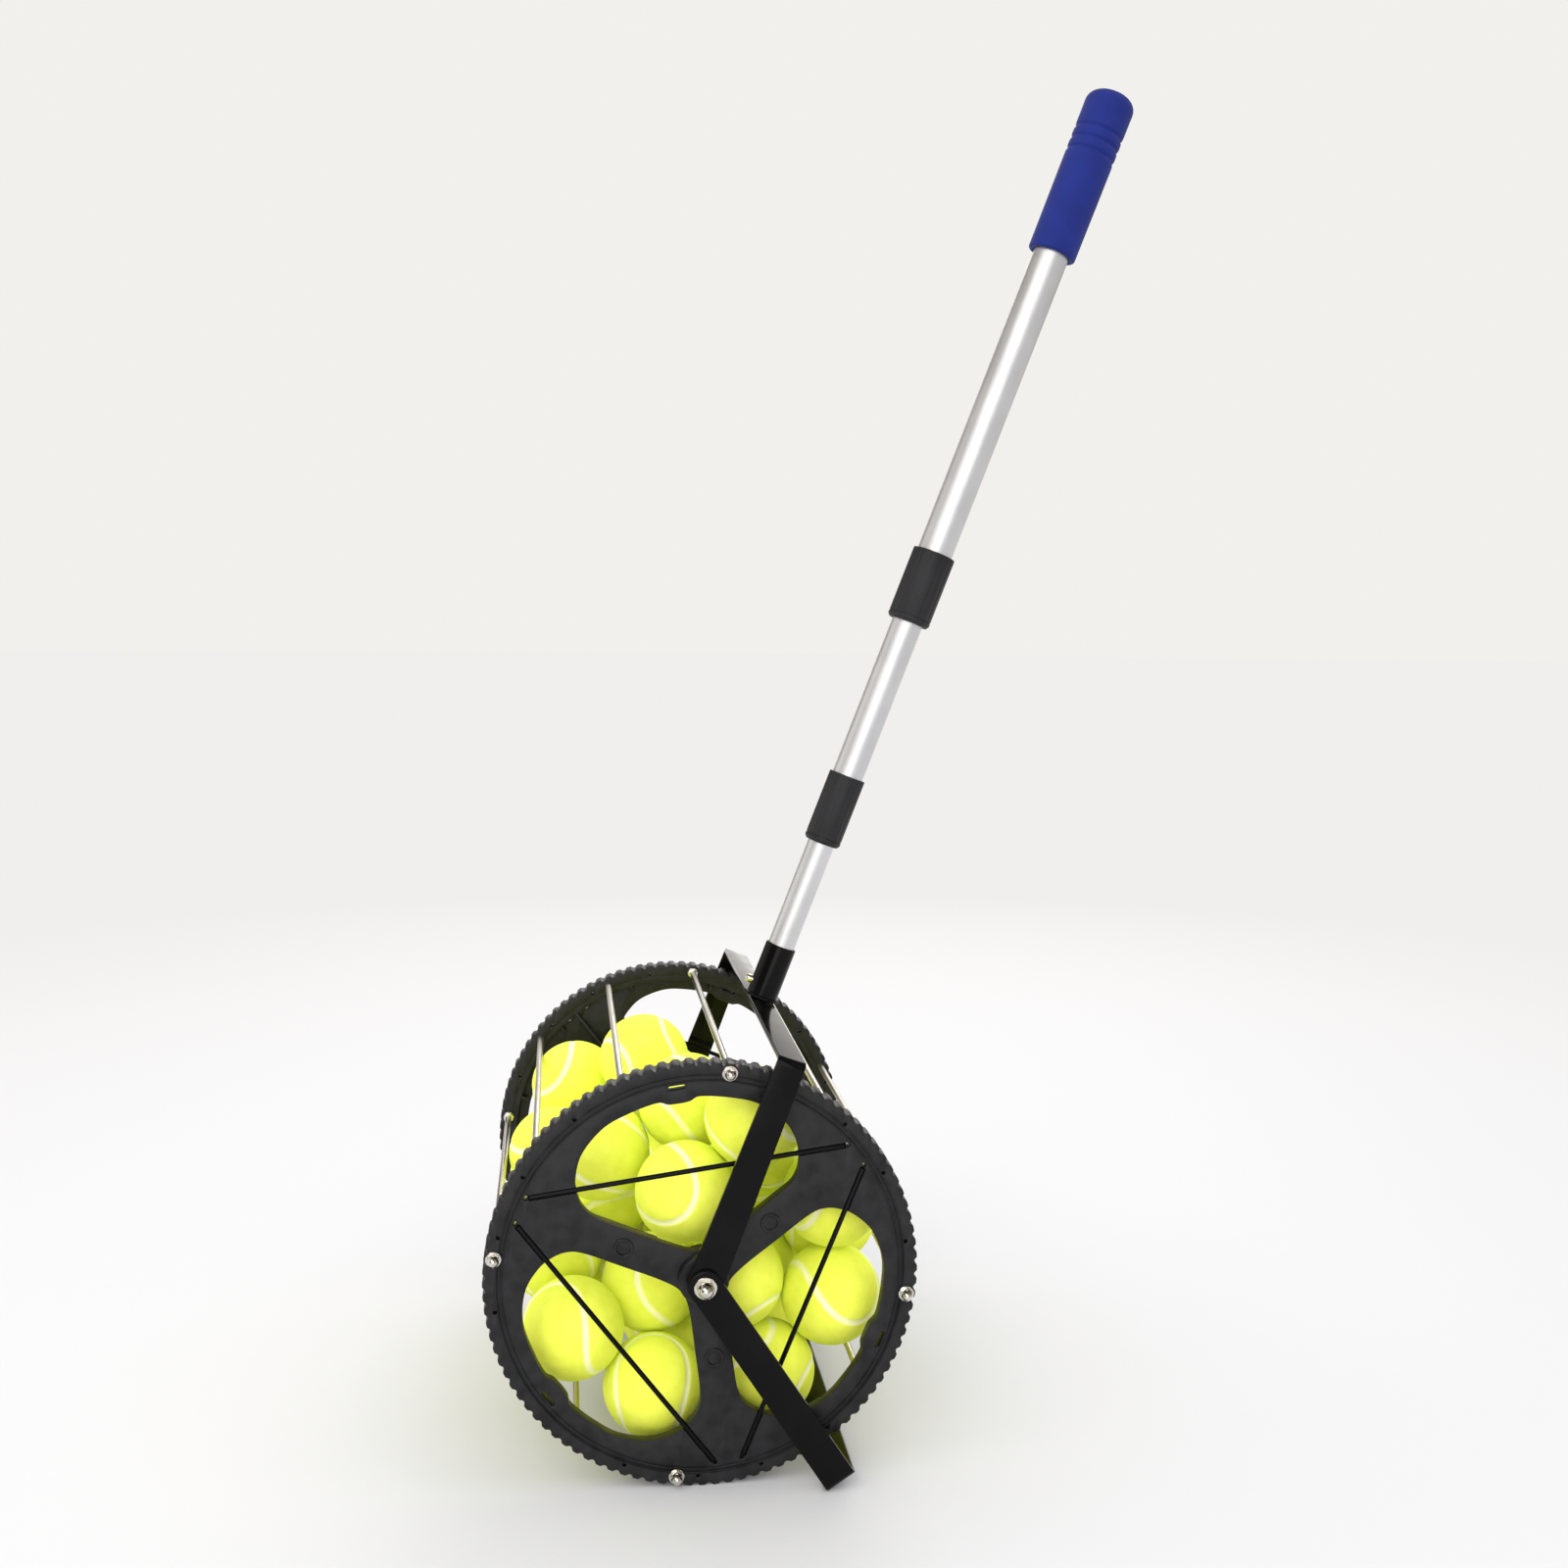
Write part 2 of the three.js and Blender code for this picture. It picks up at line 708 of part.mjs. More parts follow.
// Radius of the grip's plain skin at a station
function gripRadiusAt(station) {
  const share = (station - gripBottom) / (gripTop - gripBottom);
  return gripBottomRadius + (gripTopRadius - gripBottomRadius) * share;
}

// Foam sleeve with a rolled lower edge, ring grooves near the top and a domed end
function grip() {
  const bore = upperTubeRadius + restGap;
  const profile = [[bore, gripBottom + gripHem / 3], [bore + gripHem / 3, gripBottom]];
  profile.push([gripBottomRadius - gripHem / 3, gripBottom]);
  profile.push([gripRadiusAt(gripBottom + gripHem), gripBottom + gripHem]);
  for (let i = gripGrooveCount - 1; i >= 0; i -= 1) {
    const middle = gripTop - gripGrooveFirst - gripGroovePitch * i;
    profile.push([gripRadiusAt(middle), middle - gripGrooveWidth / 2]);
    profile.push([gripRadiusAt(middle) - gripGrooveDepth, middle]);
    profile.push([gripRadiusAt(middle), middle + gripGrooveWidth / 2]);
  }
  for (let i = 0; i < gripCrownSteps; i += 1) {
    const rise = Math.PI / 2 * i / gripCrownSteps;
    const inwards = (gripTopRadius - gripCrownRadius) * (1 - Math.cos(rise));
    profile.push([gripTopRadius - inwards, gripTop - gripCrown * (1 - Math.sin(rise))]);
  }
  profile.push([gripFlatRadius, gripTop]);
  profile.push([0, gripTop]);
  profile.push([0, gripTop - gripCapThickness]);
  profile.push([bore, gripTop - gripCapThickness]);
  profile.push(profile[0]);
  return meshOf('foam_grip', onHandle(revolve(profile, tubeSteps)), gripFoam);
}

// Start of the balls that the photo shows
function seenBalls() {
  return seenBallShares.map(([x, y, z]) => {
    return new THREE.Vector3(x * discRadius, y * pileHalfLength, z * discRadius);
  });
}

// Start of the other balls, on a sunflower spiral that steps along the axle
function hiddenBalls() {
  const count = ballCount - seenBallShares.length;
  const spiralTurn = 180 * (3 - Math.sqrt(5));
  const balls = [];
  for (let i = 0; i < count; i += 1) {
    const flat = polar(pileReach * Math.sqrt((i + 0.5) / count), spiralStart + spiralTurn * i);
    const row = (i * spiralRowShare + spiralStart / 360) % 1;
    const height = flat.y - hiddenDropShare * ballRadius;
    balls.push(new THREE.Vector3(flat.x, pileHalfLength * (2 * row - 1), height));
  }
  return balls;
}

// Balls push each other apart and stay inside the rods and between the discs, while the hidden ones sink
function settledBalls() {
  const seen = seenBalls();
  const balls = [...seenBalls(), ...hiddenBalls()];
  for (let step = 0; step < settleSteps; step += 1) {
    const pull = Math.max(0, 1 - step / (settleShare * settleSteps));
    balls.forEach((ball, i) => {
      if (i < seen.length) {
        ball.lerp(seen[i], seenHoldShare * pull);
      } else {
        ball.z -= hiddenSinkShare * ballRadius * pull;
      }
    });
    separate(balls, 2 * (ballRadius + ballClearance));
    balls.forEach(keepInDrum);
  }
  return balls;
}

function keepInDrum(ball) {
  const share = Math.min(1, pileReach / Math.hypot(ball.x, ball.z));
  ball.x *= share;
  ball.z *= share;
  ball.y = THREE.MathUtils.clamp(ball.y, -pileHalfLength, pileHalfLength);
}

function separate(balls, spacing) {
  for (let i = 0; i < balls.length; i += 1) {
    for (let j = i + 1; j < balls.length; j += 1) {
      const apart = new THREE.Vector3().subVectors(balls[j], balls[i]);
      const distance = apart.length();
      if (distance < spacing) {
        apart.multiplyScalar((spacing - distance) / distance / 2);
        balls[i].sub(apart);
        balls[j].add(apart);
      }
    }
  }
}

// How deep a ball lies below the pile's nearest side, end or top, in whole clearances
function depthInPile(ball, pileTop) {
  const fromSide = pileReach - Math.hypot(ball.x, ball.z);
  const fromEnd = pileHalfLength - Math.abs(ball.y);
  return Math.round(Math.min(fromSide, fromEnd, pileTop - ball.z) / ballClearance);
}

// The pile's buried balls are left out
function ballNodes() {
  const balls = settledBalls();
  const pileTop = Math.max(...balls.map((ball) => ball.z));
  balls.sort((a, b) => depthInPile(a, pileTop) - depthInPile(b, pileTop));
  return balls.slice(0, ballNodeCount).map((place, i) => {
    const geometry = new THREE.IcosahedronGeometry(ballRadius, ballDetail);
    geometry.translate(place.x, place.y, place.z);
    return meshOf('ball_' + twoDigits(i + 1), solid(geometry), ballFelt);
  });
}

function frameNodes() {
  return [
    handleFork(),
    standBar(),
    ...sides.map(axleBolt),
    handleSocket(),
    lowerTube(),
    snapButton(),
  ];
}

function handleNodes() {
  return [
    tube('middle_tube', middleTubeRadius, lowerCollarBottom + collarLipHeight + restGap, middleTubeTop),
    collar('lower_collar', lowerCollarRadius, lowerCollarBottom, lowerCollarLength,
      lowerTubeRadius, middleTubeRadius),
    tube('upper_tube', upperTubeRadius, upperCollarBottom + collarLipHeight + restGap,
      gripTop - gripCapThickness - restGap),
    collar('upper_collar', upperCollarRadius, upperCollarBottom, upperCollarLength,
      middleTubeRadius, upperTubeRadius),
    grip(),
  ];
}

// The whole part stands on the floor, centred over its own outline
const part = new THREE.Group();
part.add(...frameNodes(), ...handleNodes(), ...drumNodes(), ...ballNodes());
const bounds = new THREE.Box3().setFromObject(part, true);
const middle = bounds.getCenter(new THREE.Vector3());
part.children.forEach((child) => child.geometry.translate(-middle.x, -middle.y, -bounds.min.z));

export default part;
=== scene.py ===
"""Looks for a rolling ball collector: a rod cage drum of felt balls on a forked telescopic handle.

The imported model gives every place. Each piece is modelled in millimetres about its own axis, then set in
place and scaled to metres in its mesh, so that its object stays at the origin.
"""

import json
import logging
import math
import random
from dataclasses import dataclass, field
from enum import Enum
from typing import Any, Callable, Iterable, Sequence

import bpy
import numpy as np
from mathutils import Matrix, Vector

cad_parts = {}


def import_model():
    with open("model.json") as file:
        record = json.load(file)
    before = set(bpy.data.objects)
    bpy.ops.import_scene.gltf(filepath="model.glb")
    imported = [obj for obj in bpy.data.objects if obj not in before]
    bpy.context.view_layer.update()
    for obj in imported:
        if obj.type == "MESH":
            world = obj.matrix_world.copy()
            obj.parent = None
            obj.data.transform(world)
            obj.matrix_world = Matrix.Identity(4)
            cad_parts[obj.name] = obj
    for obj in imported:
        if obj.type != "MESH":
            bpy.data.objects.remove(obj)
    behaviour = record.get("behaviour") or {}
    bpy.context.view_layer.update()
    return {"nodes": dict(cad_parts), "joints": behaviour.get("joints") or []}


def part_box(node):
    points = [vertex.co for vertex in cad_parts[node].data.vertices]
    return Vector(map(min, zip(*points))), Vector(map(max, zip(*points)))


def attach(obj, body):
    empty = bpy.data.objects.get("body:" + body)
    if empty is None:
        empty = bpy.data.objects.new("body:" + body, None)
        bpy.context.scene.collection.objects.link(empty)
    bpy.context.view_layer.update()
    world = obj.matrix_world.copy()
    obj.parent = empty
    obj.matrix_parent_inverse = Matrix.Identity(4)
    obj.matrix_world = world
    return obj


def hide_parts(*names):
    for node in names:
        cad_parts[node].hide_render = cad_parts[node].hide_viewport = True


LOG = logging.getLogger("ball_collector")
SEAM_ATTRIBUTE = "seam_offset"
MM = 0.001
# Clearance in millimetres between pieces that sit in, on or round each other.
CLEAR = 0.3
# Edges flatter than this many degrees are shaded smooth.
SMOOTH_ANGLE = 32.0
# Values between which a noise pattern mostly stays.
NOISE_SPAN = (0.3, 0.7)
# Radians that a wave texture of scale 1 goes through in a length of 1.
WAVE_RADIANS = 20.0

Piece = bpy.types.Object
Material = bpy.types.Material
Owner = bpy.types.Material | bpy.types.World
Socket = bpy.types.NodeSocket
Point = tuple[float, float]
Triple = tuple[float, float, float]


class Side(Enum):
    """The two ends of the drum, by the name that their nodes start with."""

    FRONT = "front"
    BACK = "back"


class Body(Enum):
    """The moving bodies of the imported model."""

    FRAME = "frame"
    DRUM = "drum"
    BUTTON = "button"
    MIDDLE = "middle_section"
    LOWER_CLAMP = "lower_clamp"
    UPPER = "upper_section"
    UPPER_CLAMP = "upper_clamp"


# Workshop functions

def select_only(obj: Piece) -> None:
    """Makes one object the selected and active one.

    Args:
        obj: The object to work on.
    """
    bpy.ops.object.select_all(action="DESELECT")
    obj.select_set(True)
    bpy.context.view_layer.objects.active = obj


def added(name: str) -> Piece:
    """Names the object that an operator has just added and selects it alone.

    Args:
        name: The piece's name.

    Returns:
        The new object.
    """
    obj = bpy.context.active_object
    obj.name = name
    obj.data.name = name
    select_only(obj)
    return obj


def primitive(name: str, operator: Callable[..., Any], **settings: Any) -> Piece:
    """Adds a primitive and puts its place and size in its mesh.

    Args:
        name: The piece's name.
        operator: The operator that adds it.
        **settings: The operator's settings.

    Returns:
        The new object, selected alone.
    """
    bpy.ops.object.select_all(action="DESELECT")
    operator(**settings)
    obj = added(name)
    bpy.ops.object.transform_apply(location=True, rotation=True, scale=True)
    return obj


def edit(obj: Piece, action: str = "SELECT") -> None:
    """Opens a piece in edit mode.

    Args:
        obj: The object to edit.
        action: SELECT to start with all of its mesh, DESELECT to start with none.
    """
    select_only(obj)
    bpy.ops.object.mode_set(mode="EDIT")
    bpy.ops.mesh.select_all(action=action)


def modify(obj: Piece, kind: str, **settings: Any) -> None:
    """Adds a modifier with its settings and applies it.

    Args:
        obj: The object to change.
        kind: The modifier's type.
        **settings: The modifier's properties.
    """
    select_only(obj)
    modifier = obj.modifiers.new(kind.lower(), kind)
    for key, value in settings.items():
        setattr(modifier, key, value)
    bpy.ops.object.modifier_apply(modifier=modifier.name)


def soften(obj: Piece, width: float, segments: int = 2, angle: float = 35.0) -> None:
    """Rounds the edges that are sharper than an angle in degrees."""
    modify(obj, "BEVEL", width=width, segments=segments, limit_method="ANGLE",
           angle_limit=math.radians(angle), use_clamp_overlap=True)


def close_up(obj: Piece) -> None:
    """Merges doubled corners and turns every face outwards.

    Args:
        obj: The object to change.
    """
    edit(obj)
    bpy.ops.mesh.remove_doubles(threshold=MM)
    bpy.ops.mesh.normals_make_consistent(inside=False)
    bpy.ops.object.mode_set(mode="OBJECT")


def turned(name: str, profile: Sequence[Point], steps: int = 96) -> Piece:
    """Turns a profile about Z, as on a lathe.

    Args:
        name: The piece's name.
        profile: Radius and height pairs in millimetres, from axis to axis or back to the first.
        steps: Faces round the piece.

    Returns:
        The turned object.
    """
    obj = primitive(name, bpy.ops.mesh.primitive_plane_add, size=1.0)
    edit(obj)
    bpy.ops.mesh.merge(type="CENTER")
    bpy.ops.transform.translate(value=(profile[0][0], 0.0, profile[0][1]))
    for (radius, height), (next_radius, next_height) in zip(profile, profile[1:]):
        step = (next_radius - radius, 0.0, next_height - height)
        bpy.ops.mesh.extrude_vertices_move(TRANSFORM_OT_translate={"value": step})
    bpy.ops.mesh.select_all(action="SELECT")
    bpy.ops.mesh.spin(steps=steps, angle=math.tau, center=(0.0, 0.0, 0.0), axis=(0.0, 0.0, 1.0))
    bpy.ops.object.mode_set(mode="OBJECT")
    close_up(obj)
    return obj


def plate(name: str, outlines: Sequence[Sequence[Point]], bottom: float, top: float, edge: float) -> Piece:
    """Cuts a flat plate with rounded edges; outlines inside the first are holes.

    Args:
        name: The piece's name.
        outlines: Closed outlines in millimetres.
        bottom: Height of the lower face.
        top: Height of the upper face.
        edge: Radius of the rounded edges.

    Returns:
        The plate, as a mesh object.
    """
    curve = bpy.data.curves.new(name, "CURVE")
    curve.dimensions = "2D"
    curve.fill_mode = "BOTH"
    curve.extrude = (top - bottom) / 2 - edge
    curve.bevel_depth = edge
    curve.bevel_resolution = 1
    curve.offset = -edge
    for outline in outlines:
        spline = curve.splines.new("POLY")
        spline.points.add(len(outline) - 1)
        for point, (x, y) in zip(spline.points, outline):
            point.co = (x, y, 0.0, 1.0)
        spline.use_cyclic_u = True
    obj = bpy.data.objects.new(name, curve)
    bpy.context.scene.collection.objects.link(obj)
    select_only(obj)
    bpy.ops.object.convert(target="MESH")
    obj = shift(bpy.context.active_object, 0.0, 0.0, (bottom + top) / 2)
    close_up(obj)
    return obj


def round_bar(name: str, radius: float, start: float, end: float, edge: float, sides: int = 24,
              segments: int = 3, angle: float = 60.0) -> Piece:
    """Makes a round or hexagonal bar along Z with rounded ends.

    Args:
        name: The piece's name.
        radius: The bar's radius in millimetres.
        start: Height of its lower end.
        end: Height of its upper end.
        edge: Width of the rounding.
        sides: Faces round the bar.
        segments: Faces across the rounding.
        angle: Edges sharper than this many degrees are rounded.

    Returns:
        The bar.
    """
    obj = primitive(name, bpy.ops.mesh.primitive_cylinder_add, vertices=sides, radius=radius,
                    depth=end - start, location=(0.0, 0.0, (start + end) / 2))
    soften(obj, edge, segments, angle)
    return obj


def block(name: str, low: Sequence[float], high: Sequence[float], edge: float = 0.0) -> Piece:
    """Makes a block between two corners, with its edges rounded where asked.

    Args:
        name: The piece's name.
        low: Lowest corner in millimetres.
        high: Highest corner in millimetres.
        edge: Width of the rounding.

    Returns:
        The block.
    """
    middle = [(a + b) / 2 for a, b in zip(low, high)]
    size = [b - a for a, b in zip(low, high)]
    obj = primitive(name, bpy.ops.mesh.primitive_cube_add, size=1.0, location=middle, scale=size)
    if edge > 0:
        soften(obj, edge)
    return obj


def turn(obj: Piece, degrees: float, axis: str = "Z") -> Piece:
    """Turns a piece's mesh about an axis through the origin, and gives the piece back."""
    obj.data.transform(Matrix.Rotation(math.radians(degrees), 4, axis))
    return obj


def shift(obj: Piece, x: float, y: float, z: float) -> Piece:
    """Moves a piece's mesh, and gives the piece back."""
    obj.data.transform(Matrix.Translation((x, y, z)))
    return obj


def cut_away(obj: Piece, cutter: Piece) -> None:
    """Cuts one solid out of another and removes the cutter."""
    modify(obj, "BOOLEAN", operation="DIFFERENCE", object=cutter, solver="EXACT")
    bpy.data.objects.remove(cutter, do_unlink=True)


def joined(name: str, parts: Sequence[Piece]) -> Piece:
    """Joins the parts of one piece into one object.

    Args:
        name: The piece's name.
        parts: The objects to join.

    Returns:
        The joined object.
    """
    bpy.ops.object.select_all(action="DESELECT")
    for part in parts:
        part.select_set(True)
    bpy.context.view_layer.objects.active = parts[0]
    bpy.ops.object.join()
    return added(name)


def set_down(obj: Piece, place: Matrix, material: Material, body: Body, nodes: Iterable[str] = (),
             smooth: float = SMOOTH_ANGLE) -> None:
    """Puts a finished piece in its place in metres, dresses it and lets it ride on its body.

    Args:
        obj: The finished piece, in millimetres.
        place: From the piece's own axes to the model's, in metres.
        material: Its finish.
        body: The body that it rides on.
        nodes: The CAD nodes that it stands for.
        smooth: Edges flatter than this many degrees are shaded smooth.
    """
    obj.data.transform(place @ Matrix.Scale(MM, 4))
    obj.data.materials.clear()
    obj.data.materials.append(material)
    select_only(obj)
    bpy.ops.object.shade_smooth_by_angle(angle=math.radians(smooth))
    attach(obj, body.value)
    if nodes:
        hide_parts(*nodes)
    LOG.info("%s: %d faces on %s", obj.name, len(obj.data.polygons), body.value)


# Outlines and profiles

def polar(radius: float, angle: float) -> Point:
    """The point at a radius and an angle in radians."""
    return radius * math.cos(angle), radius * math.sin(angle)


def circle(radius: float, steps: int, centre: Point = (0.0, 0.0)) -> list[Point]:
    """Round outline with a number of corners."""
    corners = [polar(radius, math.tau * i / steps) for i in range(steps)]
    return [(centre[0] + x, centre[1] + y) for x, y in corners]


def rippled(waves: int, corners: int, radius_at: Callable[[float], float]) -> list[Point]:
    """Round outline whose radius goes through the same wave again and again.

    Args:
        waves: Waves round the outline.
        corners: Corners in a wave.
        radius_at: Radius at a share of the wave, from 0 to 1.

    Returns:
        The outline's points.
    """
    points = []
    for i in range(waves * corners):
        radius = radius_at((i % corners) / corners)
        points.append(polar(radius, math.tau * i / (waves * corners)))
    return points


def swung(x: float, y: float, degrees: float) -> Point:
    """Turns a point of an outline about the origin.

    Args:
        x: Its place along X.
        y: Its place along Y.
        degrees: Angle by the right-hand rule.

    Returns:
        The turned point.
    """
    point = Vector((x, y))
    point.rotate(Matrix.Rotation(math.radians(degrees), 2))
    return point.x, point.y


def dome(radius: float, base: float, height: float, rings: int = 8, inner: float = 0.0) -> list[Point]:
    """Profile of a dome without its foot and its top.

    Args:
        radius: Radius of the round part in millimetres.
        base: Height of the foot.
        height: Height of the dome.
        rings: Rings from foot to top.
        inner: Radius of the flat part inside the round one.

    Returns:
        Radius and height pairs.
    """
    rises = [math.pi / 2 * i / rings for i in range(1, rings)]
    return [(inner + radius * math.cos(rise), base + height * math.sin(rise)) for rise in rises]


# Finishes

def linear(hex_colour: str) -> tuple[float, float, float, float]:
    """Turns an sRGB hex colour to linear.

    Args:
        hex_colour: Six hex digits after a hash sign.

    Returns:
        Linear red, green, blue and alpha.
    """
    parts = [int(hex_colour[i:i + 2], 16) / 255 for i in (1, 3, 5)]
    values = [v / 12.92 if v <= 0.04045 else ((v + 0.055) / 1.055) ** 2.4 for v in parts]
    return values[0], values[1], values[2], 1.0


def connect(owner: Owner, node: bpy.types.Node, inputs: dict[Any, Any]) -> None:
    """Links a node's sockets or fills them.

    Args:
        owner: The material or world that has the node.
        node: The node.
        inputs: Value or source socket for each named input.
    """
    for key, value in inputs.items():
        if isinstance(value, Socket):
            owner.node_tree.links.new(value, node.inputs[key])
        else:
            node.inputs[key].default_value = value


def add_node(owner: Owner, kind: str, inputs: dict[Any, Any] | None = None,
             **settings: Any) -> bpy.types.Node:
    """Adds a node with its settings and links.

    Args:
        owner: The material or world that gets the node.
        kind: The node's type.
        inputs: Value or source socket for each named input.
        **settings: The node's properties.

    Returns:
        The node.
    """
    node = owner.node_tree.nodes.new(kind)
    for key, value in settings.items():
        setattr(node, key, value)
    connect(owner, node, inputs or {})
    return node


def blank_material(name: str) -> Material:
    """Starts a material that has its main shader alone.

    Args:
        name: The material's name.

    Returns:
        The material.
    """
    material = bpy.data.materials.new(name)
    material.use_nodes = True
    return material


def grain(material: Material, size: float, detail: float, stretch: Triple = (1, 1, 1),
          tilt: float = 0.0) -> Socket:
    """Noise of a real size, stretched along an axis where asked.

    Args:
        material: The material.
        size: Size of the pattern in millimetres.
        detail: Number of finer layers.
        stretch: How many times longer the pattern is along X, Y and Z.
        tilt: Lean of the pattern's Z axis towards +X in degrees.

    Returns:
        The noise value, from 0 to 1.
    """
    place = add_node(material, "ShaderNodeTexCoord").outputs["Object"]
    leaning = add_node(material, "ShaderNodeVectorRotate", {"Vector": place, "Angle": math.radians(-tilt)},
                       rotation_type="Y_AXIS").outputs["Vector"]
    scale = tuple(1.0 / share for share in stretch)
    mapped = add_node(material, "ShaderNodeMapping", {"Vector": leaning, "Scale": scale}).outputs["Vector"]
    return add_node(material, "ShaderNodeTexNoise",
                    {"Vector": mapped, "Scale": 1.0 / (size * MM), "Detail": detail}).outputs["Fac"]


def two_tone(material: Material, pattern: Socket, first: str, second: str,
             span: Point = NOISE_SPAN) -> Socket:
    """Lets a colour drift to another with a pattern.

    Args:
        material: The material.
        pattern: The pattern's value.
        first: Hex colour at the start of the span.
        second: Hex colour at its end.
        span: Values of the pattern between which the colour changes.

    Returns:
        The colour.
    """
    share = add_node(material, "ShaderNodeMapRange",
                     {"Value": pattern, "From Min": span[0], "From Max": span[1]}).outputs["Result"]
    return add_node(material, "ShaderNodeMix", {0: share, 6: linear(first), 7: linear(second)},
                    data_type="RGBA").outputs[2]


def lay_surface(material: Material, colour: Socket, wear: Socket, roughness: Point, height: Socket,
                strength: float, depth: float, fixed: dict[str, Any], span: Point = NOISE_SPAN) -> Material:
    """Gives the main shader its colour, roughness and relief.

    Args:
        material: The material.
        colour: The colour.
        wear: Pattern that the roughness follows.
        roughness: Roughness at the start and the end of the span.
        height: Pattern of the relief.
        strength: Strength of the relief.
        depth: Depth of the relief in millimetres.
        fixed: Values that are the same all over.
        span: Values of the wear between which the roughness changes.

    Returns:
        The material.
    """
    rough = add_node(material, "ShaderNodeMapRange",
                     {"Value": wear, "From Min": span[0], "From Max": span[1], "To Min": roughness[0],
                      "To Max": roughness[1]}).outputs["Result"]
    bump = add_node(material, "ShaderNodeBump",
                    {"Height": height, "Strength": strength, "Distance": depth * MM}).outputs["Normal"]
    connect(material, material.node_tree.nodes["Principled BSDF"],
            {"Base Color": colour, "Roughness": rough, "Normal": bump, **fixed})
    return material


@dataclass(frozen=True)
class MouldedPlastic:
    """Injection-moulded plastic: near black and satin, with spark-eroded grain and faint clouds.

    Real spark-eroded grain is finer than grain_mm, which is as coarse as it needs to show.
    """

    name: str
    colour: str
    cloud_colour: str
    roughness: Point
    grain_mm: float
    cloud_mm: float = 34.0
    grain_depth_mm: float = 0.05
    shine: float = 0.26

    def material(self) -> Material:
        """Builds the material.

        Returns:
            The material.
        """
        material = blank_material(self.name)
        cloud = grain(material, self.cloud_mm, detail=4.0)
        fine = grain(material, self.grain_mm, detail=2.0)
        colour = two_tone(material, cloud, self.colour, self.cloud_colour)
        return lay_surface(material, colour, cloud, self.roughness, fine, 0.35, self.grain_depth_mm,
                           {"IOR": 1.54, "Specular IOR Level": self.shine})


@dataclass(frozen=True)
class GlossPaint:
    """Gloss black stoving enamel on flat steel bar: mirror-like, with the slight waves of orange peel."""

    name: str
    colour: str
    dust_colour: str
    roughness: Point = (0.1, 0.2)
    peel_mm: float = 5.0
    peel_depth_mm: float = 0.05
    dust_mm: float = 30.0
    dust_span: Point = (0.45, 0.75)

    def material(self) -> Material:
        """Builds the material.

        Returns:
            The material.
        """
        material = blank_material(self.name)
        peel = grain(material, self.peel_mm, detail=1.0)
        dust = grain(material, self.dust_mm, detail=6.0)
        colour = two_tone(material, dust, self.colour, self.dust_colour, self.dust_span)
        return lay_surface(material, colour, dust, self.roughness, peel, 0.3, self.peel_depth_mm,
                           {"IOR": 1.45, "Specular IOR Level": 0.13})


@dataclass(frozen=True)
class DrawnMetal:
    """Drawn or plated metal: fine lines along the drawing direction, and a slow change of shine.

    Real drawing lines are finer than line_mm, which is as coarse as it needs to show. On a threaded rod,
    rings take the place of the lines. They stand two pi times thread_mm apart, wider than a real thread's.
    """

    name: str
    colour: str
    shade_colour: str
    roughness: Point
    line_mm: float = 0.6
    stretch: Triple = (1, 1, 1)
    tilt: float = 0.0
    line_depth_mm: float = 0.02
    shade_mm: float = 28.0
    thread_mm: float = 0.0
    thread_depth_share: float = 0.125

    def material(self) -> Material:
        """Builds the material.

        Returns:
            The material.
        """
        material = blank_material(self.name)
        lines = grain(material, self.line_mm, 3.0, self.stretch, self.tilt)
        slow = grain(material, self.shade_mm, detail=2.0)
        colour = two_tone(material, slow, self.colour, self.shade_colour)
        height, depth = lines, self.line_depth_mm
        if self.thread_mm > 0:
            place = add_node(material, "ShaderNodeTexCoord").outputs["Object"]
            height = add_node(material, "ShaderNodeTexWave",
                              {"Vector": place, "Scale": 1.0 / (self.thread_mm * MM) / WAVE_RADIANS},
                              bands_direction="Y", wave_profile="SIN").outputs["Fac"]
            depth = self.thread_mm * self.thread_depth_share
        return lay_surface(material, colour, lines, self.roughness, height, 0.5, depth, {"Metallic": 1.0})


@dataclass(frozen=True)
class FoamSleeve:
    """Closed-cell rubber foam: deep blue, matt, with fine cut cells and a soft bloom at grazing angles."""

    name: str
    colour: str
    bloom_colour: str
    roughness: Point = (0.66, 0.8)
    cell_mm: float = 0.9
    cell_depth_mm: float = 0.12
    bloom_mm: float = 22.0

    def material(self) -> Material:
        """Builds the material.

        Returns:
            The material.
        """
        material = blank_material(self.name)
        place = add_node(material, "ShaderNodeTexCoord").outputs["Object"]
        cells = add_node(material, "ShaderNodeTexVoronoi",
                         {"Vector": place, "Scale": 1.0 / (self.cell_mm * MM)}).outputs["Distance"]
        slow = grain(material, self.bloom_mm, detail=5.0)
        colour = two_tone(material, slow, self.colour, self.bloom_colour)
        return lay_surface(material, colour, slow, self.roughness, cells, 0.4, self.cell_depth_mm,
                           {"IOR": 1.45, "Specular IOR Level": 0.2, "Sheen Weight": 0.05,
                            "Sheen Roughness": 0.5})


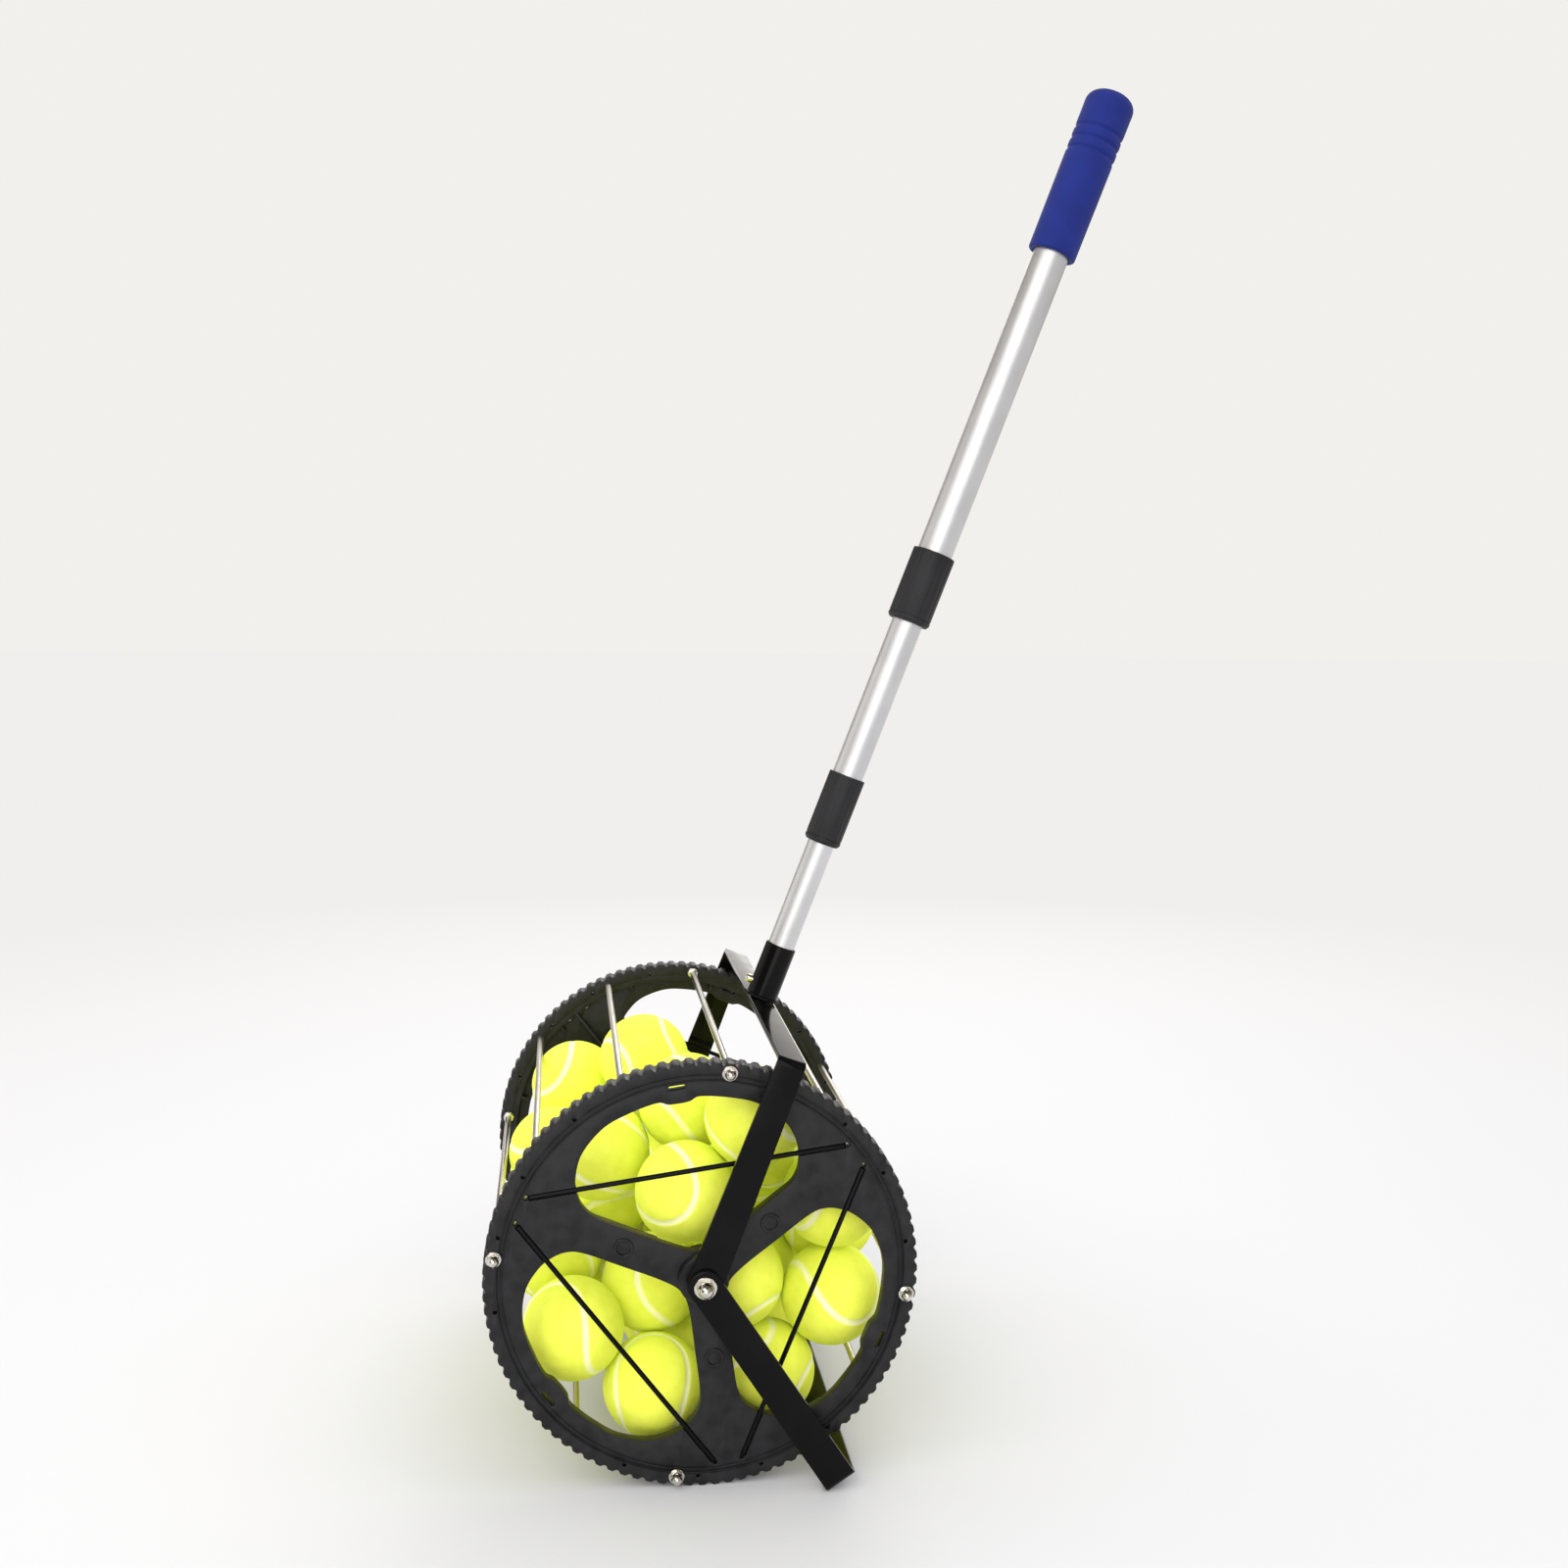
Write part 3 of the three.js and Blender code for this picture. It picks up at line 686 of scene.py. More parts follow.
@dataclass(frozen=True)
class BallFelt:
    """Needled felt of wool and nylon: bright yellow-green nap, with a bare rubber seam between the panels.

    Real fibres are finer than fibre_mm, which is as coarse as it needs to show.
    """

    name: str
    colour: str
    deep_colour: str
    seam_colour: str
    nap_colour: str
    roughness: Point = (0.92, 0.6)
    seam_span_mm: Point = (1.3, 3.2)
    seam_raggedness_mm: float = 0.7
    fibre_mm: float = 1.1
    fibre_depth_mm: float = 0.35
    nap_mm: float = 9.0
    nap_span: Point = (0.35, 0.75)

    def material(self) -> Material:
        """Builds the material.

        Returns:
            The material.
        """
        material = blank_material(self.name)
        offset = add_node(material, "ShaderNodeAttribute", attribute_name=SEAM_ATTRIBUTE).outputs["Fac"]
        distance = add_node(material, "ShaderNodeMath", {0: offset}, operation="ABSOLUTE").outputs[0]
        fibre = grain(material, self.fibre_mm, detail=4.0)
        nap = grain(material, self.nap_mm, detail=4.0)
        ragged = add_node(material, "ShaderNodeMath", {0: fibre, 1: self.seam_raggedness_mm, 2: distance},
                          operation="MULTIPLY_ADD").outputs[0]
        seam = add_node(material, "ShaderNodeMapRange",
                        {"Value": ragged, "From Min": self.seam_span_mm[0], "From Max": self.seam_span_mm[1],
                         "To Min": 1.0, "To Max": 0.0}).outputs["Result"]
        felt = two_tone(material, nap, self.colour, self.deep_colour, self.nap_span)
        colour = add_node(material, "ShaderNodeMix", {0: seam, 6: felt, 7: linear(self.seam_colour)},
                          data_type="RGBA").outputs[2]
        height = add_node(material, "ShaderNodeMath", {0: fibre, 1: seam}, operation="SUBTRACT").outputs[0]
        return lay_surface(material, colour, seam, self.roughness, height, 0.55, self.fibre_depth_mm,
                           {"IOR": 1.45, "Specular IOR Level": 0.15, "Sheen Weight": 0.4,
                            "Sheen Roughness": 0.4, "Sheen Tint": linear(self.nap_colour)}, span=(0.0, 1.0))


class Finishes:
    """The finishes of this object, each made once."""

    def __init__(self, handle_tilt: float) -> None:
        """Makes all materials.

        Args:
            handle_tilt: Lean of the handle in degrees, which the tubes' lines follow.
        """
        self.disc = MouldedPlastic("moulded_abs", "#0b0b0d", "#1e1e20", (0.34, 0.54), 0.8, 9.0).material()
        self.collar = MouldedPlastic("moulded_nylon", "#161619", "#1f1f22", (0.46, 0.58), 0.5).material()
        self.paint = GlossPaint("gloss_black_enamel", "#080808", "#0d0d0d").material()
        self.rod = DrawnMetal("drawn_stainless_rod", "#dedad2", "#cfcbc2", (0.36, 0.48), stretch=(1, 40, 1),
                              line_depth_mm=0.006).material()
        self.thread = DrawnMetal("rolled_thread_steel", "#cbc8c0", "#b1aea6", (0.2, 0.34),
                                 thread_mm=1.25).material()
        self.nickel = DrawnMetal("nickel_plated_steel", "#dedbd3", "#c6c2b8", (0.1, 0.22)).material()
        self.button = DrawnMetal("plated_brass", "#dcd8c4", "#c8c3ab", (0.14, 0.26)).material()
        self.tube = DrawnMetal("satin_anodised_aluminium", "#dcdddf", "#d2d3d6", (0.4, 0.5), line_mm=0.5,
                               stretch=(1, 1, 60), tilt=handle_tilt, line_depth_mm=0.006).material()
        self.foam = FoamSleeve("closed_cell_foam", "#0d1c64", "#15246f").material()
        self.felt = BallFelt("needled_felt", "#eef458", "#e4ec4a", "#f8f8b8", "#b4e03c").material()


# Places

@dataclass
class Stand:
    """Where the axle and the handle's line are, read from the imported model."""

    axle: Vector
    handle_axis: Vector
    inner_plane: float
    first_tie: float = 82.8

    def side(self, side: Side) -> Matrix:
        """From a disc lying on its inner face to its place on the axle.

        Args:
            side: The end of the drum.

        Returns:
            The placing matrix, with lengths in metres.
        """
        front = side is Side.FRONT
        turn_angle = self.first_tie if front else 180.0 - self.first_tie
        facing = 0.0 if front else 180.0
        return (Matrix.Translation(self.axle)
                @ Matrix.Rotation(math.radians(facing), 4, "Z")
                @ Matrix.Rotation(math.radians(90.0), 4, "X")
                @ Matrix.Translation((0.0, 0.0, self.inner_plane))
                @ Matrix.Rotation(math.radians(turn_angle), 4, "Z"))

    def rod(self, index: int, count: int, ring: float) -> Matrix:
        """From a rod along Z to its place in the cage.

        Args:
            index: The rod's place in the ring, from zero.
            count: Rods in the ring.
            ring: Radius of the ring in millimetres.

        Returns:
            The placing matrix, with lengths in metres.
        """
        x, z = polar(ring * MM, math.radians(self.first_tie + 360.0 * index / count))
        place = self.axle + Vector((x, 0.0, z))
        return Matrix.Translation(place) @ Matrix.Rotation(math.radians(90.0), 4, "X")

    @property
    def lean(self) -> float:
        """Lean of the handle towards +X in degrees."""
        return math.degrees(math.atan2(self.handle_axis.x, self.handle_axis.z))

    def leaning(self, degrees: float) -> Matrix:
        """From a piece along Z, measured from the axle, to a line that leans towards +X."""
        return Matrix.Translation(self.axle) @ Matrix.Rotation(math.radians(degrees), 4, "Y")


# Sub-assemblies

@dataclass
class ToothedDisc:
    """A moulded wheel: toothed rim, three heart-shaped openings, hub, ribs and seats for rods and bars.

    It lies on its inner face. An opening is drawn towards +Y and a spoke along +X, then each is turned.
    """

    stand: Stand
    finishes: Finishes
    radius: float = 135.0
    rim_depth: float = 15.0
    web: float = 8.0
    recess: float = 123.0
    edge: float = 0.55
    round_steps: int = 160
    hole_steps: int = 16
    teeth: int = 100
    tooth_depth: float = 1.8
    tooth_corners: int = 10
    tooth_fullness: float = 1.45
    lobes: int = 3
    lobe_from_tie: float = 15.0
    lobe_steps: int = 120
    lobe_shares: tuple[Point, ...] = (
        (0.0, 0.122), (0.1, 0.154), (0.279, 0.257), (0.438, 0.352), (0.492, 0.411), (0.512, 0.483),
        (0.507, 0.56), (0.464, 0.662), (0.358, 0.76), (0.24, 0.808), (0.1, 0.838), (0.045, 0.822))
    groove: Point = (124.4, 126.0)
    groove_depth: float = 0.9
    groove_overlap: float = 1.0
    groove_edge: float = 0.1
    ridge_circles: Point = (123.5, 126.9)
    ridge_foot: Point = (0.6, -0.5)
    ridge_top: Point = (0.25, 0.7)
    slot_half: Point = (5.5, 1.4)
    slot_circle: float = 120.8
    rim_hole_angles: tuple[float, ...] = (-30.0, -9.0, 9.0, 30.0)
    rim_hole_circle: float = 128.5
    rim_hole_radius: float = 1.2
    chord_distance: float = 67.5
    chord_half: float = 98.0
    chord_radius: float = 1.6
    chord_proud: float = 0.5
    chord_edge: float = 0.5
    seat_gap: float = 0.5
    bar_end_gap: float = 2.0
    bar_end_radius: float = 1.4
    sunk: float = 2.0
    rib_count: int = 12
    rib_start: float = 117.4
    rib_reach: float = 0.8
    rib_half: float = 1.1
    rib_low: float = 0.8
    rib_edge: float = 0.4
    spoke_rib_start: float = 12.0
    lip_span: Point = (34.0, 96.0)
    lip_across: float = 9.5
    lip_half: float = 1.0
    lip_low: float = 3.4
    hub_radius: float = 15.6
    hub_rise: float = 8.0
    hub_bore: float = 3.3
    hub_pocket: Point = (8.0, 5.4)
    hub_edges: Triple = (0.4, 0.5, 1.2)
    mark_root: float = 1.0
    ring_place: float = 53.0
    ring_radii: Point = (4.2, 6.5)
    ring_height: float = 1.0
    ring_draft: float = 0.3
    ring_edges: Point = (0.5, 0.4)
    pin_place: Point = (92.0, 4.0)
    pin_radii: Point = (4.5, 4.3)
    pin_height: float = 0.12

    def directions(self) -> list[float]:
        """Directions of the openings in degrees, with the first tie rod at zero."""
        return [self.lobe_from_tie + 360.0 * i / self.lobes for i in range(self.lobes)]

    def tooth_radius(self, phase: float) -> float:
        """Radius at a share of a rounded, flat-topped tooth."""
        wave = 0.5 + 0.5 * math.cos(math.tau * phase)
        return self.radius - self.tooth_depth * (1.0 - min(1.0, wave * self.tooth_fullness))

    def lobe(self, direction: float) -> list[Point]:
        """Outline of one opening: a smooth closed curve through its shares of the radius.

        Args:
            direction: Direction of its middle in degrees.

        Returns:
            The outline's points.
        """
        half = [(x * self.radius, y * self.radius) for x, y in self.lobe_shares]
        corners = [Vector(corner) for corner in half + [(-x, y) for x, y in reversed(half[1:])]]
        points = []
        for i in range(self.lobe_steps):
            whole, t = divmod(i / self.lobe_steps * len(corners), 1.0)
            p = [corners[(int(whole) + j) % len(corners)] for j in (-1, 0, 1, 2)]
            point = 0.5 * (2 * p[1] + (p[2] - p[0]) * t + (2 * p[0] - 5 * p[1] + 4 * p[2] - p[3]) * t * t
                           + (3 * p[1] - p[0] - 3 * p[2] + p[3]) * t ** 3)
            points.append(swung(point.x, point.y, direction - 90.0))
        return points

    def slot(self, direction: float) -> list[Point]:
        """Outline of the rounded slot in the rim over an opening.

        Args:
            direction: Direction of its middle in degrees.

        Returns:
            The outline's points.
        """
        length, width = self.slot_half
        points = []
        for x, y in circle(width, self.hole_steps):
            end = length - width if x > 0 else width - length
            points.append(swung(end + x, self.slot_circle + y, direction - 90.0))
        return points

    def rim_holes(self) -> list[list[Point]]:
        """Outlines of the small holes beside each spoke.

        Returns:
            One outline for each hole.
        """
        places = [math.radians(direction + 180.0 + angle) for direction in self.directions()
                  for angle in self.rim_hole_angles]
        return [circle(self.rim_hole_radius, self.hole_steps, polar(self.rim_hole_circle, place))
                for place in places]

    def bar_end_holes(self) -> list[list[Point]]:
        """Outlines of the small holes beyond both ends of each bar.

        Returns:
            One outline for each hole.
        """
        end = self.chord_half + self.bar_end_gap
        places = [swung(across, self.chord_distance, direction - 90.0) for direction in self.directions()
                  for across in (-end, end)]
        return [circle(self.bar_end_radius, self.hole_steps, place) for place in places]

    def web_plate(self) -> Piece:
        """The web with its openings, and the grooves that seat the bars.

        Returns:
            The web.
        """
        directions = self.directions()
        openings = [self.lobe(direction) for direction in directions]
        openings += [self.slot(direction) for direction in directions]
        web = plate("web", [circle(self.groove[0], self.round_steps), *openings, *self.bar_end_holes()],
                    self.rim_depth - self.web, self.rim_depth, self.edge)
        clear = self.chord_radius + CLEAR
        floor = self.rim_depth + self.chord_proud - 2 * self.chord_radius - CLEAR
        end = self.chord_half + self.seat_gap
        for direction in directions:
            cutter = block("seat", (-end, self.chord_distance - clear, floor),
                           (end, self.chord_distance + clear, self.rim_depth + self.sunk))
            cut_away(web, turn(cutter, direction - 90.0))
        return web

    def rim(self) -> list[Piece]:
        """The toothed rim, and the floor of the ring groove between it and the web.

        Returns:
            The rim and the floor.
        """
        inner = self.groove[1]
        teeth = rippled(self.teeth, self.tooth_corners, self.tooth_radius)
        band = plate("rim", [teeth, circle(inner, self.round_steps), *self.rim_holes()], 0.0, self.rim_depth,
                     self.edge)
        edges = [circle(radius, self.round_steps)
                 for radius in (inner + self.groove_overlap, self.recess - self.groove_overlap)]
        floor = plate("groove_floor", edges, self.edge, self.rim_depth - self.groove_depth, self.groove_edge)
        return [band, floor]

    def rib(self, start: float, end: float, across: float, half: float, low: float,
            direction: float) -> Piece:
        """One rib under the web.

        Args:
            start: Distance of its inner end from the axle in millimetres.
            end: Distance of its outer end.
            across: Its place across the spoke.
            half: Half of its width.
            low: Height of its free edge.
            direction: Its direction in degrees.

        Returns:
            The rib.
        """
        high = self.rim_depth - self.web + self.sunk
        rib = block("rib", (start, across - half, low), (end, across + half, high), self.rib_edge)
        return turn(rib, direction)

    def ribs(self) -> list[Piece]:
        """Short radial ribs inside the rim, and a rib between two lips along each spoke.

        Returns:
            The ribs and the lips.
        """
        end = self.recess + self.rib_reach
        first = self.lobe_from_tie / 2
        parts = [self.rib(self.rib_start, end, 0.0, self.rib_half, self.rib_low,
                          first + 360.0 * i / self.rib_count) for i in range(self.rib_count)]
        for direction in self.directions():
            spoke = direction + 180.0
            parts.append(self.rib(self.spoke_rib_start, end, 0.0, self.rib_half, self.rib_low, spoke))
            for across in (-self.lip_across, self.lip_across):
                parts.append(self.rib(*self.lip_span, across, self.lip_half, self.lip_low, spoke))
        return parts

    def hub(self) -> Piece:
        """The hub: a boss on both faces with a pocket for the bolt's head.

        Returns:
            The hub.
        """
        top = self.rim_depth + self.hub_rise
        radius = self.hub_radius
        pocket, depth = self.hub_pocket
        mouth, foot, shoulder = self.hub_edges
        profile = [(pocket, mouth), (radius - foot, 0.0), (radius, foot), (radius, top - shoulder),
                   (radius - shoulder, top), (self.hub_bore, top), (self.hub_bore, depth), (pocket, depth),
                   (pocket, mouth)]
        return turned("hub", profile, steps=64)

    def spoke_marks(self) -> list[Piece]:
        """Raised ring on each spoke, and the faint disc that an ejector pin leaves.

        Returns:
            A ring and a disc for each spoke.
        """
        root = self.rim_depth - self.mark_root
        top = self.rim_depth + self.ring_height
        inner, outer = self.ring_radii
        across, down = self.ring_edges
        draft = outer - self.ring_draft
        ring = [(inner, root), (outer, root), (draft, top - self.ring_draft), (draft - down, top),
                (inner + across, top), (inner, top - down), (inner, root)]
        face = self.rim_depth + self.pin_height
        pin = [(0.0, root), (self.pin_radii[0], root), (self.pin_radii[1], face), (0.0, face)]
        parts = []
        for direction in self.directions():
            boss = shift(turned("ring_boss", ring, steps=40), self.ring_place, 0.0, 0.0)
            mark = shift(turned("pin_mark", pin, steps=32), *self.pin_place, 0.0)
            parts += [turn(boss, direction + 180.0), turn(mark, direction + 180.0)]
        return parts

    def ridges(self) -> list[Piece]:
        """Fine raised rings that run round the rim's outer face.

        Returns:
            The rings.
        """
        foot, low = self.ridge_foot
        crest, high = self.ridge_top
        low, high = self.rim_depth + low, self.rim_depth + high
        return [turned("ridge", [(radius - foot, low), (radius + foot, low), (radius + crest, high),
                                 (radius - crest, high), (radius - foot, low)], steps=200)
                for radius in self.ridge_circles]

    def build(self, side: Side) -> None:
        """Builds one disc with its three bars.

        Args:
            side: The end of the drum.
        """
        parts = [self.web_plate(), *self.rim(), *self.ribs(), self.hub(), *self.spoke_marks(), *self.ridges()]
        disc = joined(f"{side.value}_wheel", parts)
        place = self.stand.side(side)
        set_down(disc, place, self.finishes.disc, Body.DRUM, [f"{side.value}_disc"])
        height = self.rim_depth + self.chord_proud - self.chord_radius
        for i, direction in enumerate(self.directions(), 1):
            bar = round_bar(f"{side.value}_bar_{i}", self.chord_radius, -self.chord_half, self.chord_half,
                            self.chord_edge, sides=20)
            turn(shift(turn(bar, 90.0, "Y"), 0.0, self.chord_distance, height), direction - 90.0)
            set_down(bar, place, self.finishes.paint, Body.DRUM,
                     [f"{side.value}_chord_bar_{i}"])


@dataclass(frozen=True)
class DomeNut:
    """A dome-ended nut on its washer, standing on z = 0."""

    radius: float
    height: float
    washer_radius: float
    washer: float
    washer_edges: Point = (0.2, 0.3)
    hexagon_sunk: float = 0.1
    hexagon_edge: float = 0.25
    dome_share: float = 0.96
    steps: int = 40

    def parts(self) -> list[Piece]:
        """Makes the nut and its washer.

        Returns:
            The washer, the hexagon and the dome.
        """
        rim, washer = self.washer_radius, self.washer
        low, high = self.washer_edges
        flat = self.radius * math.cos(math.pi / 6)
        top = washer + self.height
        ring = [(0.0, 0.0), (rim - low, 0.0), (rim, low), (rim, washer - high), (rim - high, washer),
                (0.0, washer)]
        cap = [(0.0, washer), (flat, washer), (flat, top), *dome(flat * self.dome_share, top, flat),
               (0.0, top + flat)]
        return [turned("washer", ring, self.steps),
                round_bar("hexagon", self.radius, washer - self.hexagon_sunk, top + self.hexagon_sunk,
                          self.hexagon_edge, sides=6, segments=2, angle=35.0),
                turned("dome", cap, self.steps)]


@dataclass
class RodCage:
    """Twelve rods between the discs: plain ones in blind seats, and threaded ones that clamp the discs.

    The inner nut and the inner washer are given by radius and by their ends' distances from the disc.
    """

    stand: Stand
    finishes: Finishes
    rim_depth: float
    count: int = 12
    tie_every: int = 3
    ring: float = 129.0
    rod_radius: float = 2.2
    rod_edge: float = 0.4
    tie_radius: float = 2.3
    tie_edge: float = 0.3
    seat: float = 7.7
    half_width: float = 160.0
    outer_nut: DomeNut = DomeNut(4.0, 3.2, 4.9, 1.0)
    inner_nut: Triple = (4.0, 3.5, 1.1)
    inner_nut_edge: float = 0.3
    inner_washer: Triple = (3.95, 1.2, 0.3)
    inner_washer_edge: float = 0.2

    def plain_rod(self, index: int) -> None:
        """Builds one plain rod.

        Args:
            index: Its place in the ring, from zero.
        """
        half = self.half_width - self.rim_depth + self.seat
        rod = round_bar(f"rod_{index + 1:02d}", self.rod_radius, -half, half, self.rod_edge)
        set_down(rod, self.stand.rod(index, self.count, self.ring), self.finishes.rod, Body.DRUM,
                 [f"cage_rod_{index + 1:02d}"])

    def tie_rod(self, index: int) -> None:
        """Builds one threaded rod with its nuts.

        Args:
            index: Its place in the ring, from zero.
        """
        place = self.stand.rod(index, self.count, self.ring)
        rod = round_bar(f"threaded_rod_{index + 1:02d}", self.tie_radius, -self.half_width, self.half_width,
                        self.tie_edge)
        set_down(rod, place, self.finishes.thread, Body.DRUM, [f"tie_rod_{index + 1:02d}"])
        disc = self.half_width - self.rim_depth
        parts = []
        for end in (0.0, 180.0):
            outer = shift(joined("outer_nut", self.outer_nut.parts()), 0.0, 0.0, self.half_width + CLEAR)
            radius, far, near = self.inner_nut
            nut = round_bar("inner_nut", radius, disc - far, disc - near, self.inner_nut_edge, sides=6,
                            segments=2, angle=35.0)
            radius, far, near = self.inner_washer
            washer = round_bar("inner_washer", radius, disc - far, disc - near, self.inner_washer_edge,
                               sides=40)
            parts += [turn(part, end, "X") for part in (outer, nut, washer)]
        nuts = joined(f"tie_nuts_{index + 1:02d}", parts)
        set_down(nuts, place, self.finishes.nickel, Body.DRUM)

    def build(self) -> None:
        """Builds all rods."""
        for index in range(self.count):
            if index % self.tie_every == 0:
                self.tie_rod(index)
            else:
                self.plain_rod(index)


@dataclass
class BentBar:
    """A flat steel bar bent to a U: crossbar, two bends and two legs that are round about the axle."""

    name: str
    node: str
    inner: float
    axle_width: float
    top_width: float
    height: float
    lean: float
    bend: float = 5.0
    bend_steps: int = 8
    end_rows: int = 10
    end_share: float = 0.995
    thickness: float = 3.0
    edge: float = 0.55

    def pick_end(self, obj: Piece, start: float) -> None:
        """Selects the end of the sheet, corners and edges.

        Args:
            obj: The sheet, in object mode.
            start: Where the end begins along Y.
        """
        edit(obj, "DESELECT")
        bpy.ops.mesh.select_mode(type="VERT")
        bpy.ops.object.mode_set(mode="OBJECT")
        for vertex in obj.data.vertices:
            vertex.select = vertex.co.y > start
        for line in obj.data.edges:
            line.select = all(obj.data.vertices[k].select for k in line.vertices)

    def draw_down(self, drop: float, share: float) -> None:
        """Draws the leg's selected end down and makes it narrower about the leg's middle."""
        bpy.ops.mesh.extrude_edges_move(TRANSFORM_OT_translate={"value": (0.0, 0.0, -drop)})
        bpy.ops.transform.resize(value=(share, 1.0, 1.0),
                                 center_override=(0.0, self.inner + self.thickness / 2, 0.0))

    def strip(self) -> Piece:
        """Half of the bar as a thin sheet on +Y, from the crossbar's middle to the leg's round end.

        Returns:
            The sheet.
        """
        top = self.height - self.thickness / 2
        radius = self.bend - self.thickness / 2
        length = self.inner + self.thickness / 2 - radius
        obj = primitive(self.name, bpy.ops.mesh.primitive_plane_add, size=1.0)
        edit(obj)
        bpy.ops.transform.resize(value=(self.top_width, length, 1.0))
        bpy.ops.transform.translate(value=(0.0, length / 2, top))
        bpy.ops.object.mode_set(mode="OBJECT")
        self.pick_end(obj, length / 2)
        bpy.ops.object.mode_set(mode="EDIT")
        bpy.ops.mesh.spin(steps=self.bend_steps, angle=math.pi / 2, center=(0.0, length, top - radius),
                          axis=(1.0, 0.0, 0.0))
        self.draw_down(top - radius, self.axle_width / self.top_width)
        rises = [math.pi / 2 * k / self.end_rows * self.end_share for k in range(self.end_rows + 1)]
        for start, end in zip(rises, rises[1:]):
            self.draw_down(self.axle_width / 2 * (math.sin(end) - math.sin(start)),
                           math.cos(end) / math.cos(start))
        bpy.ops.object.mode_set(mode="OBJECT")
        return obj

    def build(self, stand: Stand, finishes: Finishes, floor: float | None = None) -> None:
        """Builds the bar and sets it on the axle.

        Args:
            stand: The places.
            finishes: The finishes.
            floor: Height at which the foot is ground flat, in metres, or None.
        """
        obj = self.strip()
        modify(obj, "MIRROR", use_axis=(False, True, False), use_mirror_merge=True, merge_threshold=0.01)
        close_up(obj)
        modify(obj, "SOLIDIFY", thickness=self.thickness, offset=0.0, use_even_offset=True)
        soften(obj, self.edge, segments=3, angle=50.0)
        close_up(obj)
        set_down(obj, stand.leaning(self.lean), finishes.paint, Body.FRAME, [self.node])
        if floor is not None:
            edit(obj)
            bpy.ops.mesh.bisect(plane_co=(0.0, 0.0, floor), plane_no=(0.0, 0.0, 1.0), use_fill=True,
                                clear_inner=True, threshold=MM * MM)
            bpy.ops.object.mode_set(mode="OBJECT")


@dataclass
class BarFrame:
    """The fork over the drum and the stand under it, nested on the axle."""

    stand: Stand
    finishes: Finishes
    disc_radius: float
    fork_inner: float = 172.0
    fork_widths: Point = (22.0, 18.0)
    fork_height: float = 148.8
    foot_inner: float = 175.3
    foot_width: float = 20.5
    foot_lean: float = 33.5
    disc_lift: float = 0.5

    def build(self) -> None:
        """Builds both bars; the stand reaches the floor with the lower edge of its crossbar."""
        lean = math.radians(self.foot_lean)
        down = self.disc_radius + self.disc_lift
        reach = (down - self.foot_width / 2 * math.sin(lean)) / math.cos(lean)
        fork = BentBar("fork_bar", "handle_fork", self.fork_inner, *self.fork_widths, self.fork_height,
                       self.stand.lean)
        foot = BentBar("foot_bar", "stand_bar", self.foot_inner, self.foot_width, self.foot_width, reach,
                       180.0 - self.foot_lean)
        fork.build(self.stand, self.finishes)
        foot.build(self.stand, self.finishes, floor=0.0)


@dataclass
class AxleBolts:
    """Stub bolts through the hubs, with spacer, washer and dome nut outside the bars."""

    stand: Stand
    finishes: Finishes
    rim_depth: float
    hub_rise: float
    to_fork: float = 12.0
    bars: float = 6.3
    spacer_radius: float = 9.0
    spacer_edge: float = 0.4
    shank_radius: float = 3.0
    shank_edge: float = 0.2
    shank_in_nut: float = 1.0
    head_radius: float = 5.8
    head_span: Point = (1.1, 5.1)
    head_edge: float = 0.4
    nut: DomeNut = DomeNut(5.7, 3.6, 7.0, 1.4)

    def build(self, side: Side) -> None:
        """Builds the bolt of one side.

        Args:
            side: The end of the drum.
        """
        fork = self.rim_depth + self.to_fork
        nut_bottom = fork + self.bars + CLEAR
        start, end = self.head_span
        parts = [round_bar("spacer", self.spacer_radius, self.rim_depth + self.hub_rise + CLEAR, fork - CLEAR,
                           self.spacer_edge, sides=48),
                 round_bar("shank", self.shank_radius, start, nut_bottom + self.shank_in_nut, self.shank_edge,
                           sides=32),
                 round_bar("head", self.head_radius, start, end, self.head_edge, sides=6)]
        parts += [shift(part, 0.0, 0.0, nut_bottom) for part in self.nut.parts()]
        bolt = joined(f"{side.value}_axle", parts)
        set_down(bolt, self.stand.side(side), self.finishes.nickel, Body.FRAME,
                 [f"{side.value}_axle_bolt"])


